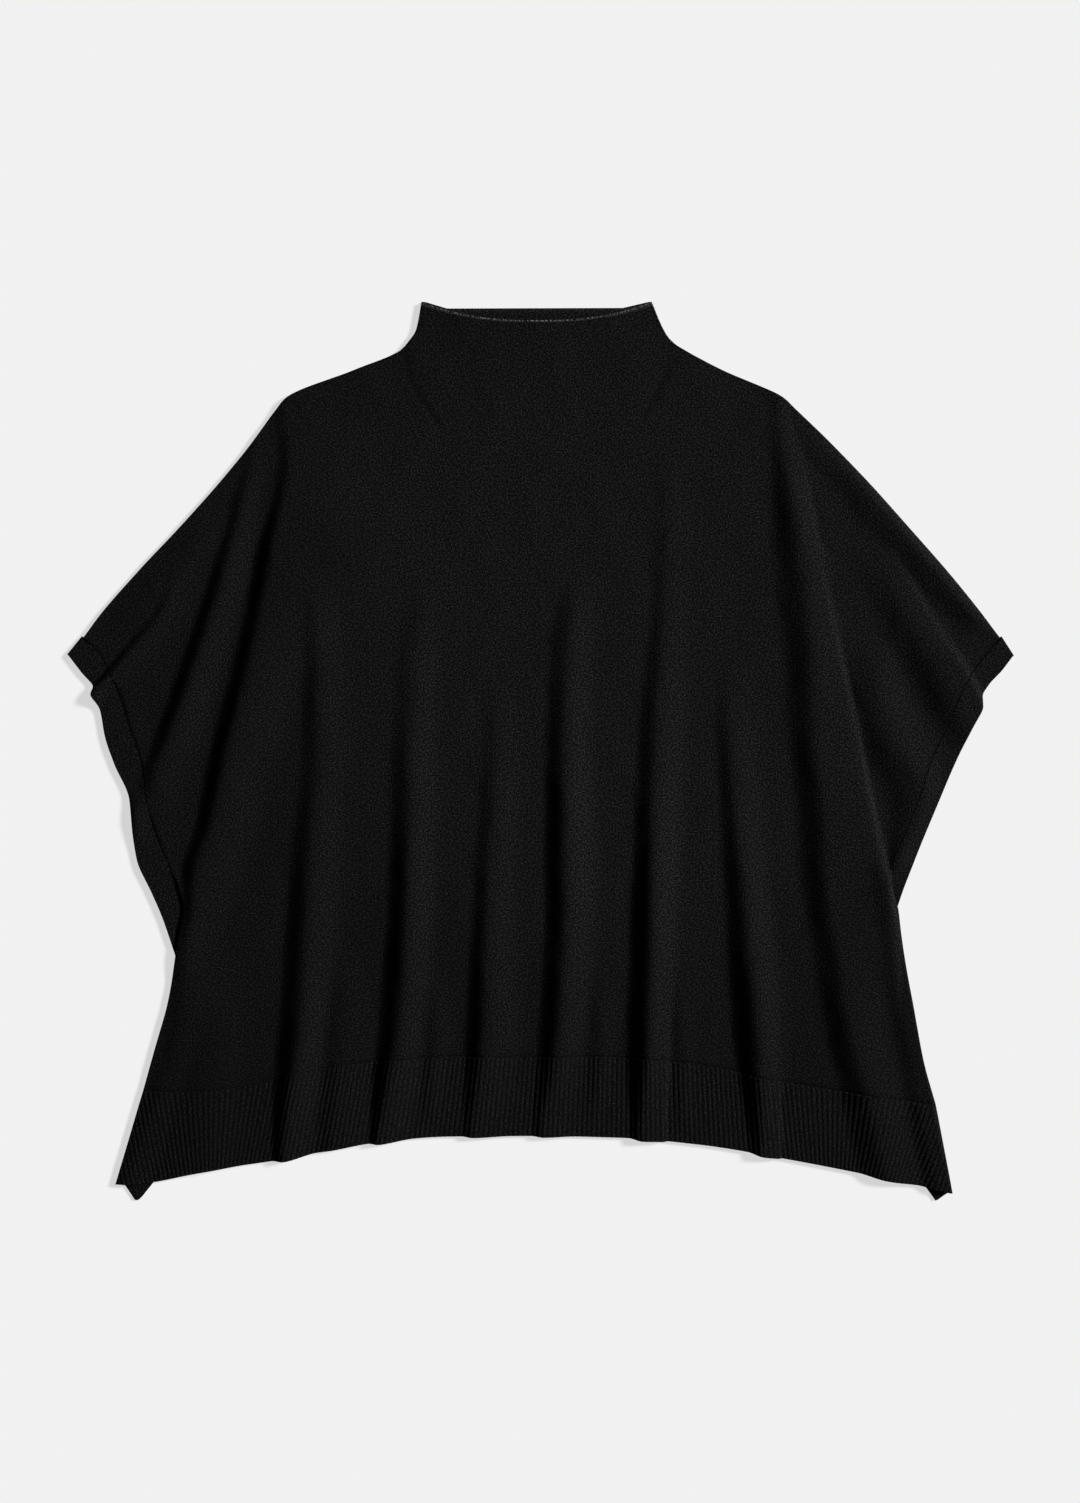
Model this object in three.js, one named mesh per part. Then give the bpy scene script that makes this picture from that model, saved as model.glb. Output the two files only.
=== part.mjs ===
// A knitted poncho sweater laid flat on its back, built as its maker knits and links it:
// a back and a front that each grow into a funnel neck, a ribbed hem on both, and a band
// round each armhole. X runs across the garment, Y from hem to neck and Z up off the table.
// All sizes are millimetres.
import * as THREE from 'three';

// Cloth
const WALL = 2; // thickness of the knit
const GAP = 0.3; // clearance between pieces at a seam
const FRONT_BASE = WALL + GAP; // underside of the front where it lies on the back
const FRONT_TOP = FRONT_BASE + WALL;
const EDGE_INSET = 0.4; // how far the back keeps inside the front's outline
const YARN = { color: 0x161617, roughness: 0.95, metalness: 0 };

// Funnel neck
const NECK_TOP = 404;
const NECK_BASE = 360.5;
const NECK_MIDDLE = -4;
const NECK_HALF_WIDTH = 104;
const NECK_DIP = 17; // how far the front edge sags below its two tips
const NECK_DIP_POWER = 2.4;
const NECK_LOFT = 3; // how far the front edge stands off the back
const NECK_LOFT_START = 325;
const BACK_NECK_EDGE = [
  { x: -104, y: 404.5 },
  { x: -84, y: 398.5 },
  { x: 74, y: 399 },
  { x: 97.5, y: 404.5 },
];

// Outline of the front, from neck to hem seam: a row for each level that turns the edge.
// From the sleeve's tip down to the armhole's lower end it is the seam of the armhole band.
const OUTLINE = [
  { y: NECK_TOP, left: -107, right: 100 },
  { y: 378.5, left: -112, right: 111 },
  { y: 368, left: -119, right: 118.5 },
  { y: NECK_BASE, left: -126, right: 130 },
  { y: 343.5, left: -166, right: 162 },
  { y: 318, left: -228, right: 218 },
  { y: 307.5, left: -237.5, right: 229.5 },
  { y: 278, left: -259, right: 260 },
  { y: 240, left: -290, right: 296.5 },
  { y: 203, left: -323, right: 329.5 },
  { y: 161.5, left: -362, right: 366 },
  { y: 125, left: -394, right: 395.5 },
  { y: 102, left: -411, right: 413 },
  { y: 86, left: -395.5, right: 399.5 },
  { y: 73.5, left: -388.5, right: 389.5 },
  { y: 52, left: -379, right: 376.5 },
  { y: 18.5, left: -368.5, right: 363 },
  { y: -11.5, left: -358, right: 349.5 },
  { y: -44.5, left: -354, right: 338 },
  { y: -79.5, left: -343.5, right: 324 },
  { y: -100.5, left: -335.5, right: 314.5 },
  { y: -123, left: -325.5, right: 315.5 },
  { y: -141, left: -322, right: 321 },
  { y: -162.5, left: -325.5, right: 324 },
  { y: -185, left: -328, right: 327.5 },
  { y: -223.5, left: -334.5, right: 335 },
  { y: -268.5, left: -347, right: 344 },
  { y: -304.5, left: -357, right: 355 },
];
const ROW_STEP = 26; // longest step between two rows of the front
const HEM_BLEND_START = -141; // below this level the rows bend towards the hem seam

// Armhole bands, from the sleeve's tip down: a section from the seam to the open edge in
// each row. The last two sections of each are tucked under the front.
const LEFT_CUFF = [
  { seamX: -411, seamY: 102, edgeX: -424, edgeY: 86 },
  { seamX: -395.5, seamY: 86, edgeX: -412.5, edgeY: 71 },
  { seamX: -388.5, seamY: 73.5, edgeX: -402, edgeY: 58 },
  { seamX: -382.5, seamY: 60, edgeX: -403.5, edgeY: 51.5 },
  { seamX: -379, seamY: 52, edgeX: -396, edgeY: 37.5 },
  { seamX: -368.5, seamY: 18.5, edgeX: -391.5, edgeY: 13.5 },
  { seamX: -358, seamY: -11.5, edgeX: -383, edgeY: -11.5 },
  { seamX: -354, seamY: -44.5, edgeX: -369.5, edgeY: -43 },
  { seamX: -343.5, seamY: -79.5, edgeX: -366, edgeY: -78 },
  { seamX: -335.5, seamY: -100.5, edgeX: -362.5, edgeY: -98.5 },
  { seamX: -325.5, seamY: -123, edgeX: -349.5, edgeY: -127 },
  { seamX: -319, seamY: -144, edgeX: -340, edgeY: -149 },
  { seamX: -314, seamY: -175, edgeX: -328, edgeY: -184 },
];
const RIGHT_CUFF = [
  { seamX: 413, seamY: 102, edgeX: 424, edgeY: 85 },
  { seamX: 399.5, seamY: 86, edgeX: 414.5, edgeY: 72.5 },
  { seamX: 389.5, seamY: 73.5, edgeX: 403, edgeY: 60 },
  { seamX: 381.5, seamY: 60, edgeX: 397, edgeY: 49 },
  { seamX: 376.5, seamY: 52, edgeX: 397, edgeY: 40.5 },
  { seamX: 363, seamY: 18.5, edgeX: 386.5, edgeY: 19 },
  { seamX: 349.5, seamY: -11.5, edgeX: 372, edgeY: -12 },
  { seamX: 338, seamY: -44.5, edgeX: 358.5, edgeY: -43.5 },
  { seamX: 324, seamY: -79.5, edgeX: 343.5, edgeY: -79.5 },
  { seamX: 314.5, seamY: -100.5, edgeX: 335, edgeY: -101 },
  { seamX: 311, seamY: -124.5, edgeX: 326.5, edgeY: -123 },
  { seamX: 307.5, seamY: -139, edgeX: 321, edgeY: -139 },
];
const CUFF_TUCKED = 2;
const CUFF_SEAM_GAP = 0.45;
const CUFF_EDGE_LIFT = 0.5; // share of the seam's height that the open edge keeps
const FOLD_TURNS = [Math.PI / 4, Math.PI / 2, (3 * Math.PI) / 4];

// Where the front's edge rises over the tucked end of a band
const TUCK_LIFT = 2.9;
const TUCK_REACH = 26;
const TUCKS = [
  { side: 'left', top: -123, bottom: -185, fade: 20 },
  { side: 'right', top: -100.5, bottom: -141, fade: 19 },
];

// Ribbed hem: seam and bottom edge, from the left side edge (0) to the right one (1)
const HEM = [
  { across: 0, seam: -304.5, edge: -389 },
  { across: 0.03, seam: -305.5, edge: -388 },
  { across: 0.1, seam: -303.5, edge: -377.5 },
  { across: 0.2, seam: -288, edge: -366.5 },
  { across: 0.3, seam: -277.5, edge: -352.5 },
  { across: 0.4, seam: -274, edge: -346 },
  { across: 0.5, seam: -274, edge: -345.5 },
  { across: 0.6, seam: -274.5, edge: -347 },
  { across: 0.7, seam: -281, edge: -353.5 },
  { across: 0.8, seam: -295.5, edge: -366 },
  { across: 0.9, seam: -307, edge: -380.5 },
  { across: 1, seam: -317, edge: -396 },
];
const HEM_BOTTOM_LEFT = -382;
const HEM_BOTTOM_RIGHT = 370;
const HEM_WAVE = 0.35; // how far the bottom edge drops where a fold lifts it, as a share of the lift
const HEM_RIBS = 170;
const HEM_ROWS = 2;
const RIB_RISE = 0.8;
const BACK_HEM_SHORTER = 4; // the back's edge keeps hidden behind the front's
const BACK_HEM_LEFT_TIP = [
  { x: -374, y: -390 },
  { x: -364.5, y: -404.5 },
  { x: -360, y: -402 },
  { x: -344, y: -382 },
];
const BACK_HEM_RIGHT_TIP = [
  { x: 331, y: -388 },
  { x: 347, y: -392 },
  { x: 356, y: -404.5 },
  { x: 365, y: -398 },
];

// Folds of the front: ridges that run from chest to hem or lie across a sleeve. Each row is a
// level of one fold. The cloth climbs from the foot to the crest and falls gently to the tail;
// with roll it stays high and rolls over at the tail instead.
const FOLDS = [
  {
    name: 'left body',
    levels: [
      { y: 301, foot: -240, crest: -229, tail: -180, rise: 2, roll: 0 },
      { y: 268, foot: -238, crest: -224, tail: -160, rise: 4, roll: 0 },
      { y: 172, foot: -258, crest: -238, tail: -150, rise: 9.5, roll: 0 },
      { y: 68, foot: -282, crest: -259, tail: -205, rise: 10.5, roll: 0 },
      { y: 10, foot: -298, crest: -274, tail: -228, rise: 11.5, roll: 0 },
      { y: -65, foot: -312, crest: -288, tail: -248, rise: 10, roll: 0 },
      { y: -134, foot: -321, crest: -301, tail: -270, rise: 8, roll: 0 },
      { y: -179, foot: -327, crest: -309, tail: -284, rise: 5.5, roll: 0 },
      { y: -240, foot: -337, crest: -320, tail: -298, rise: 2.5, roll: 0 },
      { y: -389, foot: -383, crest: -371, tail: -345, rise: 2, roll: 0 },
    ],
  },
  {
    name: 'left side',
    levels: [
      { y: 136, foot: -212, crest: -197, tail: -176, rise: 0, roll: 0 },
      { y: 10, foot: -218, crest: -198, tail: -174, rise: 4.5, roll: 0 },
      { y: -134, foot: -230, crest: -208, tail: -176, rise: 9, roll: 0 },
      { y: -251, foot: -238, crest: -214, tail: -182, rise: 11, roll: 0 },
      { y: -355, foot: -248, crest: -225, tail: -196, rise: 10.5, roll: 0 },
    ],
  },
  {
    name: 'left of middle',
    levels: [
      { y: 163, foot: -123, crest: -107, tail: -88, rise: 0, roll: 0 },
      { y: 10, foot: -137, crest: -115, tail: -90, rise: 5, roll: 0 },
      { y: -134, foot: -139, crest: -118, tail: -92, rise: 9.5, roll: 0 },
      { y: -251, foot: -148, crest: -125, tail: -92, rise: 11, roll: 0 },
      { y: -346, foot: -157, crest: -136, tail: -102, rise: 9.5, roll: 0 },
    ],
  },
  {
    name: 'middle left',
    levels: [
      { y: 71, foot: -54, crest: -40, tail: -18, rise: 0, roll: 0 },
      { y: 10, foot: -54, crest: -40, tail: -14, rise: 3.5, roll: 0 },
      { y: -134, foot: -63, crest: -46, tail: -17, rise: 6, roll: 0 },
      { y: -251, foot: -69, crest: -50, tail: -14, rise: 8.5, roll: 0 },
      { y: -333, foot: -73, crest: -51, tail: -20, rise: 7.5, roll: 0 },
    ],
  },
  {
    name: 'middle right',
    levels: [
      { y: 163, foot: 22, crest: 36, tail: 54, rise: 0, roll: 0 },
      { y: 100, foot: 7, crest: 27, tail: 52, rise: 5, roll: 0 },
      { y: 10, foot: 2, crest: 23, tail: 50, rise: 8, roll: 0 },
      { y: -134, foot: 2, crest: 24, tail: 54, rise: 10, roll: 0 },
      { y: -251, foot: -3, crest: 17, tail: 50, rise: 9.5, roll: 0 },
      { y: -328, foot: -10, crest: 12, tail: 42, rise: 6.5, roll: 0 },
    ],
  },
  {
    name: 'right of middle',
    levels: [
      { y: 276, foot: 100, crest: 115, tail: 135, rise: 0, roll: 0 },
      { y: 136, foot: 97, crest: 112, tail: 138, rise: 3, roll: 0 },
      { y: 10, foot: 85, crest: 104, tail: 134, rise: 6.5, roll: 0 },
      { y: -134, foot: 80, crest: 101, tail: 129, rise: 10.5, roll: 0 },
      { y: -251, foot: 77, crest: 99, tail: 120, rise: 11.5, roll: 0 },
      { y: -337, foot: 76, crest: 97, tail: 120, rise: 9, roll: 0 },
    ],
  },
  {
    name: 'right side',
    levels: [
      { y: 82, foot: 154, crest: 169, tail: 193, rise: 0, roll: 0 },
      { y: 10, foot: 156, crest: 171, tail: 199, rise: 3.5, roll: 0 },
      { y: -134, foot: 163, crest: 184, tail: 211, rise: 8, roll: 0 },
      { y: -251, foot: 171, crest: 195, tail: 219, rise: 11, roll: 0 },
      { y: -351, foot: 180, crest: 202, tail: 226, rise: 8.5, roll: 0 },
    ],
  },
  {
    name: 'right body',
    levels: [
      { y: 298, foot: 201, crest: 214, tail: 224, rise: 1.5, roll: 1 },
      { y: 268, foot: 203, crest: 220, tail: 234, rise: 4, roll: 1 },
      { y: 172, foot: 206, crest: 234, tail: 253, rise: 9, roll: 1 },
      { y: 91, foot: 214, crest: 243, tail: 270, rise: 9, roll: 1 },
      { y: 10, foot: 220, crest: 248, tail: 287.5, rise: 9, roll: 1 },
      { y: -62, foot: 227, crest: 256, tail: 303, rise: 9.5, roll: 1 },
      { y: -134, foot: 233, crest: 261, tail: 317, rise: 9.5, roll: 0.8 },
      { y: -179, foot: 241, crest: 268, tail: 321, rise: 9, roll: 0.4 },
      { y: -251, foot: 253, crest: 279, tail: 322, rise: 9, roll: 0 },
      { y: -323, foot: 270, crest: 298, tail: 336, rise: 7, roll: 0 },
      { y: -386, foot: 286, crest: 310, tail: 346, rise: 5, roll: 0 },
    ],
  },
  {
    name: 'right edge',
    levels: [
      { y: -100, foot: 288, crest: 306, tail: 316, rise: 0, roll: 1 },
      { y: -141, foot: 296, crest: 313, tail: 321.5, rise: 2, roll: 1 },
      { y: -251, foot: 312, crest: 330, tail: 341, rise: 3, roll: 1 },
      { y: -396, foot: 342, crest: 359, tail: 371, rise: 3, roll: 1 },
    ],
  },
  {
    name: 'left sleeve',
    levels: [
      { y: 274, foot: -265, crest: -255, tail: -244, rise: 1, roll: 0 },
      { y: 172, foot: -294, crest: -279, tail: -258, rise: 6.5, roll: 0 },
      { y: 75, foot: -326, crest: -309, tail: -285, rise: 9, roll: 0 },
      { y: 10, foot: -350, crest: -332, tail: -302, rise: 9, roll: 0 },
      { y: -18, foot: -360, crest: -344, tail: -313, rise: 6, roll: 0 },
      { y: -70, foot: -371, crest: -356, tail: -328, rise: 0, roll: 0 },
    ],
  },
  {
    name: 'left sleeve tip',
    levels: [
      { y: 154, foot: -341, crest: -328, tail: -306, rise: 0, roll: 0 },
      { y: 121, foot: -353, crest: -340, tail: -316, rise: 3.5, roll: 0 },
      { y: 85, foot: -382, crest: -369, tail: -340, rise: 5, roll: 0 },
      { y: 63, foot: -402, crest: -388, tail: -357, rise: 5.5, roll: 0 },
      { y: 42, foot: -420, crest: -405, tail: -374, rise: 3, roll: 0 },
      { y: 19, foot: -430, crest: -414, tail: -386, rise: 0, roll: 0 },
    ],
  },
  {
    name: 'right sleeve tip',
    levels: [
      { y: 190, foot: 266, crest: 286, tail: 312, rise: 0, roll: 0.5 },
      { y: 108, foot: 317, crest: 339, tail: 365, rise: 6, roll: 0.6 },
      { y: 54, foot: 345, crest: 368, tail: 400, rise: 7, roll: 0.7 },
      { y: 25, foot: 357, crest: 378, tail: 404, rise: 5, roll: 0.6 },
      { y: -5, foot: 370, crest: 390, tail: 408, rise: 0, roll: 0.5 },
    ],
  },
  {
    name: 'right sleeve',
    levels: [
      { y: 130, foot: 266, crest: 290, tail: 312, rise: 0, roll: 0 },
      { y: 46, foot: 277, crest: 304, tail: 334, rise: 6, roll: 0 },
      { y: 10, foot: 285, crest: 317, tail: 356, rise: 7.5, roll: 0 },
      { y: -32, foot: 297, crest: 327, tail: 358, rise: 5.5, roll: 0 },
      { y: -90, foot: 314, crest: 338, tail: 362, rise: 0, roll: 0 },
    ],
  },
  {
    name: 'left sleeve top',
    levels: [
      { y: 215, foot: -315, crest: -290, tail: -272, rise: 0, roll: 0 },
      { y: 172, foot: -351, crest: -318, tail: -296, rise: 3.5, roll: 0 },
      { y: 130, foot: -389, crest: -355, tail: -330, rise: 3.5, roll: 0 },
      { y: 104, foot: -409, crest: -380, tail: -352, rise: 0, roll: 0 },
    ],
  },
  {
    name: 'right sleeve top',
    levels: [
      { y: 300, foot: 195, crest: 228, tail: 238, rise: 0, roll: 0 },
      { y: 240, foot: 255, crest: 288, tail: 297, rise: 3, roll: 0 },
      { y: 172, foot: 313, crest: 348, tail: 357, rise: 4.5, roll: 0 },
      { y: 130, foot: 352, crest: 383, tail: 392, rise: 3.5, roll: 0 },
      { y: 104, foot: 380, crest: 404, tail: 412, rise: 0, roll: 0 },
    ],
  },
];
const ROLL_POWER = 5; // how late a rolled tail falls

// Fineness of the front: columns gather on the folds, most of all on their steep sides
const COLUMNS = 64;
const COARSE_COLUMN = 15;
const STEEP_COLUMN = 6;
const TAIL_COLUMN = 10;
const FULL_CROWD_RISE = 4;
const CROWD_FADE = 5;
const CROWD_SAMPLES = 480;
const SHARE_WINDOW = [-40, -20, 0, 20, 40]; // levels over which the columns are evened out
const SLOPE_STEP = 0.25;

function clamp(value, low, high) {
  return Math.min(high, Math.max(low, value));
}

function ease(t) {
  const s = clamp(t, 0, 1);
  return s * s * (3 - 2 * s);
}

// Rises from 0 to 1 across a face whose middle is at 0
function face(offset, halfWidth) {
  return ease(0.5 + offset / (2 * halfWidth));
}

// Reads a column of a table between its rows, on a smooth run through them
function rounded(rows, key, at, column) {
  const last = rows.length - 1;
  const falling = rows[last][key] < rows[0][key];
  const isPast = (k) => (falling ? at < rows[k][key] : at > rows[k][key]);
  let i = 0;
  while (i < last - 1 && isPast(i + 1)) i += 1;
  const secant = (k) => (rows[k + 1][column] - rows[k][column]) / (rows[k + 1][key] - rows[k][key]);
  const slope = (k) => {
    if (k === 0) return secant(0);
    if (k === last) return secant(last - 1);
    const before = secant(k - 1);
    const after = secant(k);
    return before * after <= 0 ? 0 : (2 * before * after) / (before + after);
  };
  const span = rows[i + 1][key] - rows[i][key];
  const t = clamp((at - rows[i][key]) / span, 0, 1);
  const u = 1 - t;
  const fromValues = rows[i][column] * (1 + 2 * t) * u * u + rows[i + 1][column] * t * t * (3 - 2 * t);
  return fromValues + span * t * u * (slope(i) * u - slope(i + 1) * t);
}

// Reads a column of a table between its rows, on straight lines
function straight(rows, key, at, column) {
  let i = 0;
  while (i < rows.length - 2 && at < rows[i + 1][key]) i += 1;
  const t = clamp((at - rows[i][key]) / (rows[i + 1][key] - rows[i][key]), 0, 1);
  return rows[i][column] + t * (rows[i + 1][column] - rows[i][column]);
}

function foldAt(fold, y) {
  const at = { };
  for (const column of ['foot', 'crest', 'tail', 'rise', 'roll']) {
    at[column] = rounded(fold.levels, 'y', y, column);
  }
  return at;
}

// Height of a fold across its width
function ridge(x, at) {
  if (x <= at.foot || x >= at.tail) return 0;
  if (x < at.crest) return at.rise * ease((x - at.foot) / (at.crest - at.foot));
  const down = (x - at.crest) / (at.tail - at.crest);
  const gentle = (1 + Math.cos(Math.PI * down)) / 2;
  const rolled = 1 - down ** ROLL_POWER;
  return at.rise * (gentle + at.roll * (rolled - gentle));
}

function neckLoft(x, y) {
  const across = 1 - ((x - NECK_MIDDLE) / NECK_HALF_WIDTH) ** 2;
  return NECK_LOFT * Math.max(0, across) * ease((y - NECK_LOFT_START) / (NECK_TOP - NECK_LOFT_START));
}

function tuckLift(x, y) {
  let lift = 0;
  for (const tuck of TUCKS) {
    const edge = straight(OUTLINE, 'y', y, tuck.side);
    const inward = Math.abs(x - edge);
    const above = clamp((y - tuck.top) / tuck.fade, 0, 1);
    const below = clamp((tuck.bottom - y) / tuck.fade, 0, 1);
    lift += TUCK_LIFT * (1 - above) * (1 - below) * (1 - ease(inward / TUCK_REACH));
  }
  return lift;
}

function foldLift(x, y) {
  return FOLDS.reduce((sum, fold) => sum + ridge(x, foldAt(fold, y)), 0);
}

// Height of the front's outside
function frontHeight(x, y) {
  return FRONT_TOP + foldLift(x, y) + neckLoft(x, y) + tuckLift(x, y);
}

// A point a given way off the front's outside, square to the cloth, or upright on its border
function frontPoint(x, y, offset, onBorder) {
  const point = new THREE.Vector3(x, y, frontHeight(x, y));
  if (onBorder) return point.add(new THREE.Vector3(0, 0, offset));
  const slopeX = (frontHeight(x + SLOPE_STEP, y) - frontHeight(x - SLOPE_STEP, y)) / (2 * SLOPE_STEP);
  const slopeY = (frontHeight(x, y + SLOPE_STEP) - frontHeight(x, y - SLOPE_STEP)) / (2 * SLOPE_STEP);
  const normal = new THREE.Vector3(-slopeX, -slopeY, 1).normalize();
  return point.addScaledVector(normal, offset);
}

// Turns points and faces into one closed body with its faces pointing out
function body(points, faces) {
  let volume = 0;
  for (const [a, b, c] of faces) {
    volume += points[a].dot(new THREE.Vector3().crossVectors(points[b], points[c]));
  }
  const outward = volume < 0 ? faces.map(([a, b, c]) => [a, c, b]) : faces;
  const geometry = new THREE.BufferGeometry().setFromPoints(points);
  geometry.setIndex(outward.flat());
  geometry.computeVertexNormals();
  return geometry;
}

// A wall between an inner grid and an outer one that may have several columns to each inner one
function wall(inner, outer) {
  const points = [];
  const number = (grid) => grid.map((row) => row.map((point) => points.push(point) - 1));
  const low = number(inner);
  const high = number(outer);
  const rows = low.length - 1;
  const share = (high[0].length - 1) / (low[0].length - 1);
  const faces = [];
  // Each cell is halved by the diagonal that keeps closer to the cloth, inside and outside alike
  const miss = (a, b) => Math.abs((a.z + b.z) / 2 - frontHeight((a.x + b.x) / 2, (a.y + b.y) / 2));
  const isFalling = (r, c) => {
    if (share > 1) return true;
    return miss(outer[r][c], outer[r + 1][c + 1]) <= miss(outer[r + 1][c], outer[r][c + 1]);
  };
  const skin = (grid, isTop) => {
    for (let r = 0; r < rows; r += 1) {
      for (let c = 0; c < grid[r].length - 1; c += 1) {
        const [a, b, d, e] = [grid[r][c], grid[r][c + 1], grid[r + 1][c], grid[r + 1][c + 1]];
        const halves = isFalling(r, c) ? [[a, d, e], [a, e, b]] : [[a, d, b], [b, d, e]];
        for (const [p, q, s] of halves) faces.push(isTop ? [p, q, s] : [p, s, q]);
      }
    }
  };
  skin(high, true);
  skin(low, false);
  // Sews a stretch of the rim, given in the turning sense of the top
  const rim = (lowStart, lowEnd, chain) => {
    for (let k = 0; k < chain.length - 1; k += 1) faces.push([chain[k + 1], chain[k], lowStart]);
    faces.push([chain[chain.length - 1], lowStart, lowEnd]);
  };
  const lastLow = low[0].length - 1;
  const lastHigh = high[0].length - 1;
  for (let r = 0; r < rows; r += 1) {
    rim(low[r][0], low[r + 1][0], [high[r][0], high[r + 1][0]]);
    rim(low[r + 1][lastLow], low[r][lastLow], [high[r + 1][lastHigh], high[r][lastHigh]]);
  }
  for (let c = 0; c < lastLow; c += 1) {
    rim(low[rows][c], low[rows][c + 1], high[rows].slice(c * share, (c + 1) * share + 1));
    rim(low[0][c + 1], low[0][c], high[0].slice(c * share, (c + 1) * share + 1).reverse());
  }
  return body(points, faces);
}

// Levels of the front, with long steps of the outline cut into shorter ones
function frontRows() {
  const rows = [OUTLINE[0]];
  for (let i = 1; i < OUTLINE.length; i += 1) {
    const from = OUTLINE[i - 1];
    const to = OUTLINE[i];
    const steps = Math.ceil((from.y - to.y) / ROW_STEP);
    for (let k = 1; k <= steps; k += 1) {
      const t = k / steps;
      rows.push({
        y: from.y + t * (to.y - from.y),
        left: from.left + t * (to.left - from.left),
        right: from.right + t * (to.right - from.right),
      });
    }
  }
  return rows;
}

// Shares of one level's width at which its columns stand
function sharesAt(y) {
  const folds = FOLDS.map((fold) => foldAt(fold, y));
  const left = straight(OUTLINE, 'y', y, 'left');
  const width = straight(OUTLINE, 'y', y, 'right') - left;
  const crowd = (x) => {
    let density = 1 / COARSE_COLUMN;
    for (const at of folds) {
      const strength = Math.min(1, at.rise / FULL_CROWD_RISE);
      const pastFoot = face(x - at.foot, CROWD_FADE);
      const pastCrest = face(x - at.crest, CROWD_FADE);
      const pastTail = face(x - at.tail, CROWD_FADE);
      density += strength * ((pastFoot - pastCrest) / STEEP_COLUMN + (pastCrest - pastTail) / TAIL_COLUMN);
    }
    return density;
  };
  const sums = [0];
  for (let k = 0; k < CROWD_SAMPLES; k += 1) {
    sums.push(sums[k] + crowd(left + ((k + 0.5) / CROWD_SAMPLES) * width));
  }
  const shares = [];
  let k = 0;
  for (let c = 0; c <= COLUMNS; c += 1) {
    const target = (c / COLUMNS) * sums[CROWD_SAMPLES];
    while (k < CROWD_SAMPLES - 1 && sums[k + 1] < target) k += 1;
    shares.push((k + (target - sums[k]) / (sums[k + 1] - sums[k])) / CROWD_SAMPLES);
  }
  return shares;
}

function columnShares(y) {
  const levels = SHARE_WINDOW.map((offset) => sharesAt(y + offset));
  return levels[0].map((_, c) => levels.reduce((sum, level) => sum + level[c], 0) / levels.length);
}

function frontLevel(y, share) {
  const hemRow = OUTLINE[OUTLINE.length - 1].y;
  if (y > NECK_BASE) {
    const dip = NECK_DIP * (1 - Math.abs(2 * share - 1) ** NECK_DIP_POWER);
    return y - (dip * (y - NECK_BASE)) / (NECK_TOP - NECK_BASE);
  }
  if (y < HEM_BLEND_START) {
    const seam = rounded(HEM, 'across', share, 'seam') + GAP / 2;
    return y + ((seam - hemRow) * (HEM_BLEND_START - y)) / (HEM_BLEND_START - hemRow);
  }
  return y;
}

function frontPanel() {
  const rows = frontRows();
  const inner = [];
  const outer = [];
  rows.forEach((row, r) => {
    const shares = columnShares(row.y);
    const low = [];
    const high = [];
    shares.forEach((share, c) => {
      const x = row.left + share * (row.right - row.left);
      const y = frontLevel(row.y, share);
      const onBorder = r === 0 || r === rows.length - 1 || c === 0 || c === COLUMNS;
      low.push(frontPoint(x, y, -WALL, onBorder));
      high.push(frontPoint(x, y, 0, onBorder));
    });
    inner.push(low);
    outer.push(high);
  });
  return wall(inner, outer);
}

function hemPoint(across, down) {
  const hemRow = OUTLINE[OUTLINE.length - 1];
  const left = hemRow.left + down * (HEM_BOTTOM_LEFT - hemRow.left);
  const right = hemRow.right + down * (HEM_BOTTOM_RIGHT - hemRow.right);
  const x = left + across * (right - left);
  const seam = rounded(HEM, 'across', across, 'seam') - GAP / 2;
  const plainEdge = rounded(HEM, 'across', across, 'edge');
  const edge = plainEdge - HEM_WAVE * foldLift(x, plainEdge);
  return { x, y: seam + down * (edge - seam) };
}

// The ribs stand in the outer points: crests on odd columns, grooves on even ones
function frontHemRib() {
  const inner = [];
  const outer = [];
  const outerColumns = 2 * HEM_RIBS;
  for (let r = 0; r <= HEM_ROWS; r += 1) {
    const down = r / HEM_ROWS;
    const low = [];
    const high = [];
    for (let c = 0; c <= outerColumns; c += 1) {
      const { x, y } = hemPoint(c / outerColumns, down);
      const onBorder = r === 0 || r === HEM_ROWS || c === 0 || c === outerColumns;
      high.push(frontPoint(x, y, c % 2 === 1 ? RIB_RISE : 0, onBorder));
      if (c % 2 === 0) low.push(frontPoint(x, y, -WALL, onBorder));
    }
    inner.push(low);
    outer.push(high);
  }
  return wall(inner, outer);
}

function flatSheet(outline) {
  const shape = new THREE.Shape(outline.map((point) => new THREE.Vector2(point.x, point.y)));
  return new THREE.ExtrudeGeometry(shape, { depth: WALL, bevelEnabled: false });
}

// The side of the back from neck to hem seam, cut away where an armhole band turns under
function backSide(side, cuff) {
  const outward = side === 'left' ? -1 : 1;
  const lastSewn = cuff[cuff.length - 1 - CUFF_TUCKED];
  const tucked = cuff.slice(-CUFF_TUCKED);
  const end = tucked[CUFF_TUCKED - 1];
  const clear = WALL + 2 * GAP;
  const turn = foldDirection(end, -1);
  const points = [];
  for (const row of OUTLINE) {
    if (row.y >= lastSewn.seamY) points.push({ x: row[side] - outward * EDGE_INSET, y: row.y });
  }
  for (const section of tucked) {
    points.push({ x: section.seamX - outward * CUFF_SEAM_GAP, y: section.seamY });
  }
  points.push({ x: end.seamX - outward * CUFF_SEAM_GAP + turn.x * clear, y: end.seamY + turn.y * clear });
  points.push({ x: end.edgeX + turn.x * clear, y: end.edgeY + turn.y * clear });
  for (const row of OUTLINE) {
    if (row.y < end.edgeY - clear) points.push({ x: row[side] - outward * EDGE_INSET, y: row.y });
  }
  return points;
}

function hemSeamLine(offset) {
  const line = [];
  for (const row of HEM.slice(1, -1)) {
    const { x } = hemPoint(row.across, 0);
    line.push({ x, y: row.seam + offset });
  }
  return line;
}

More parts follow.
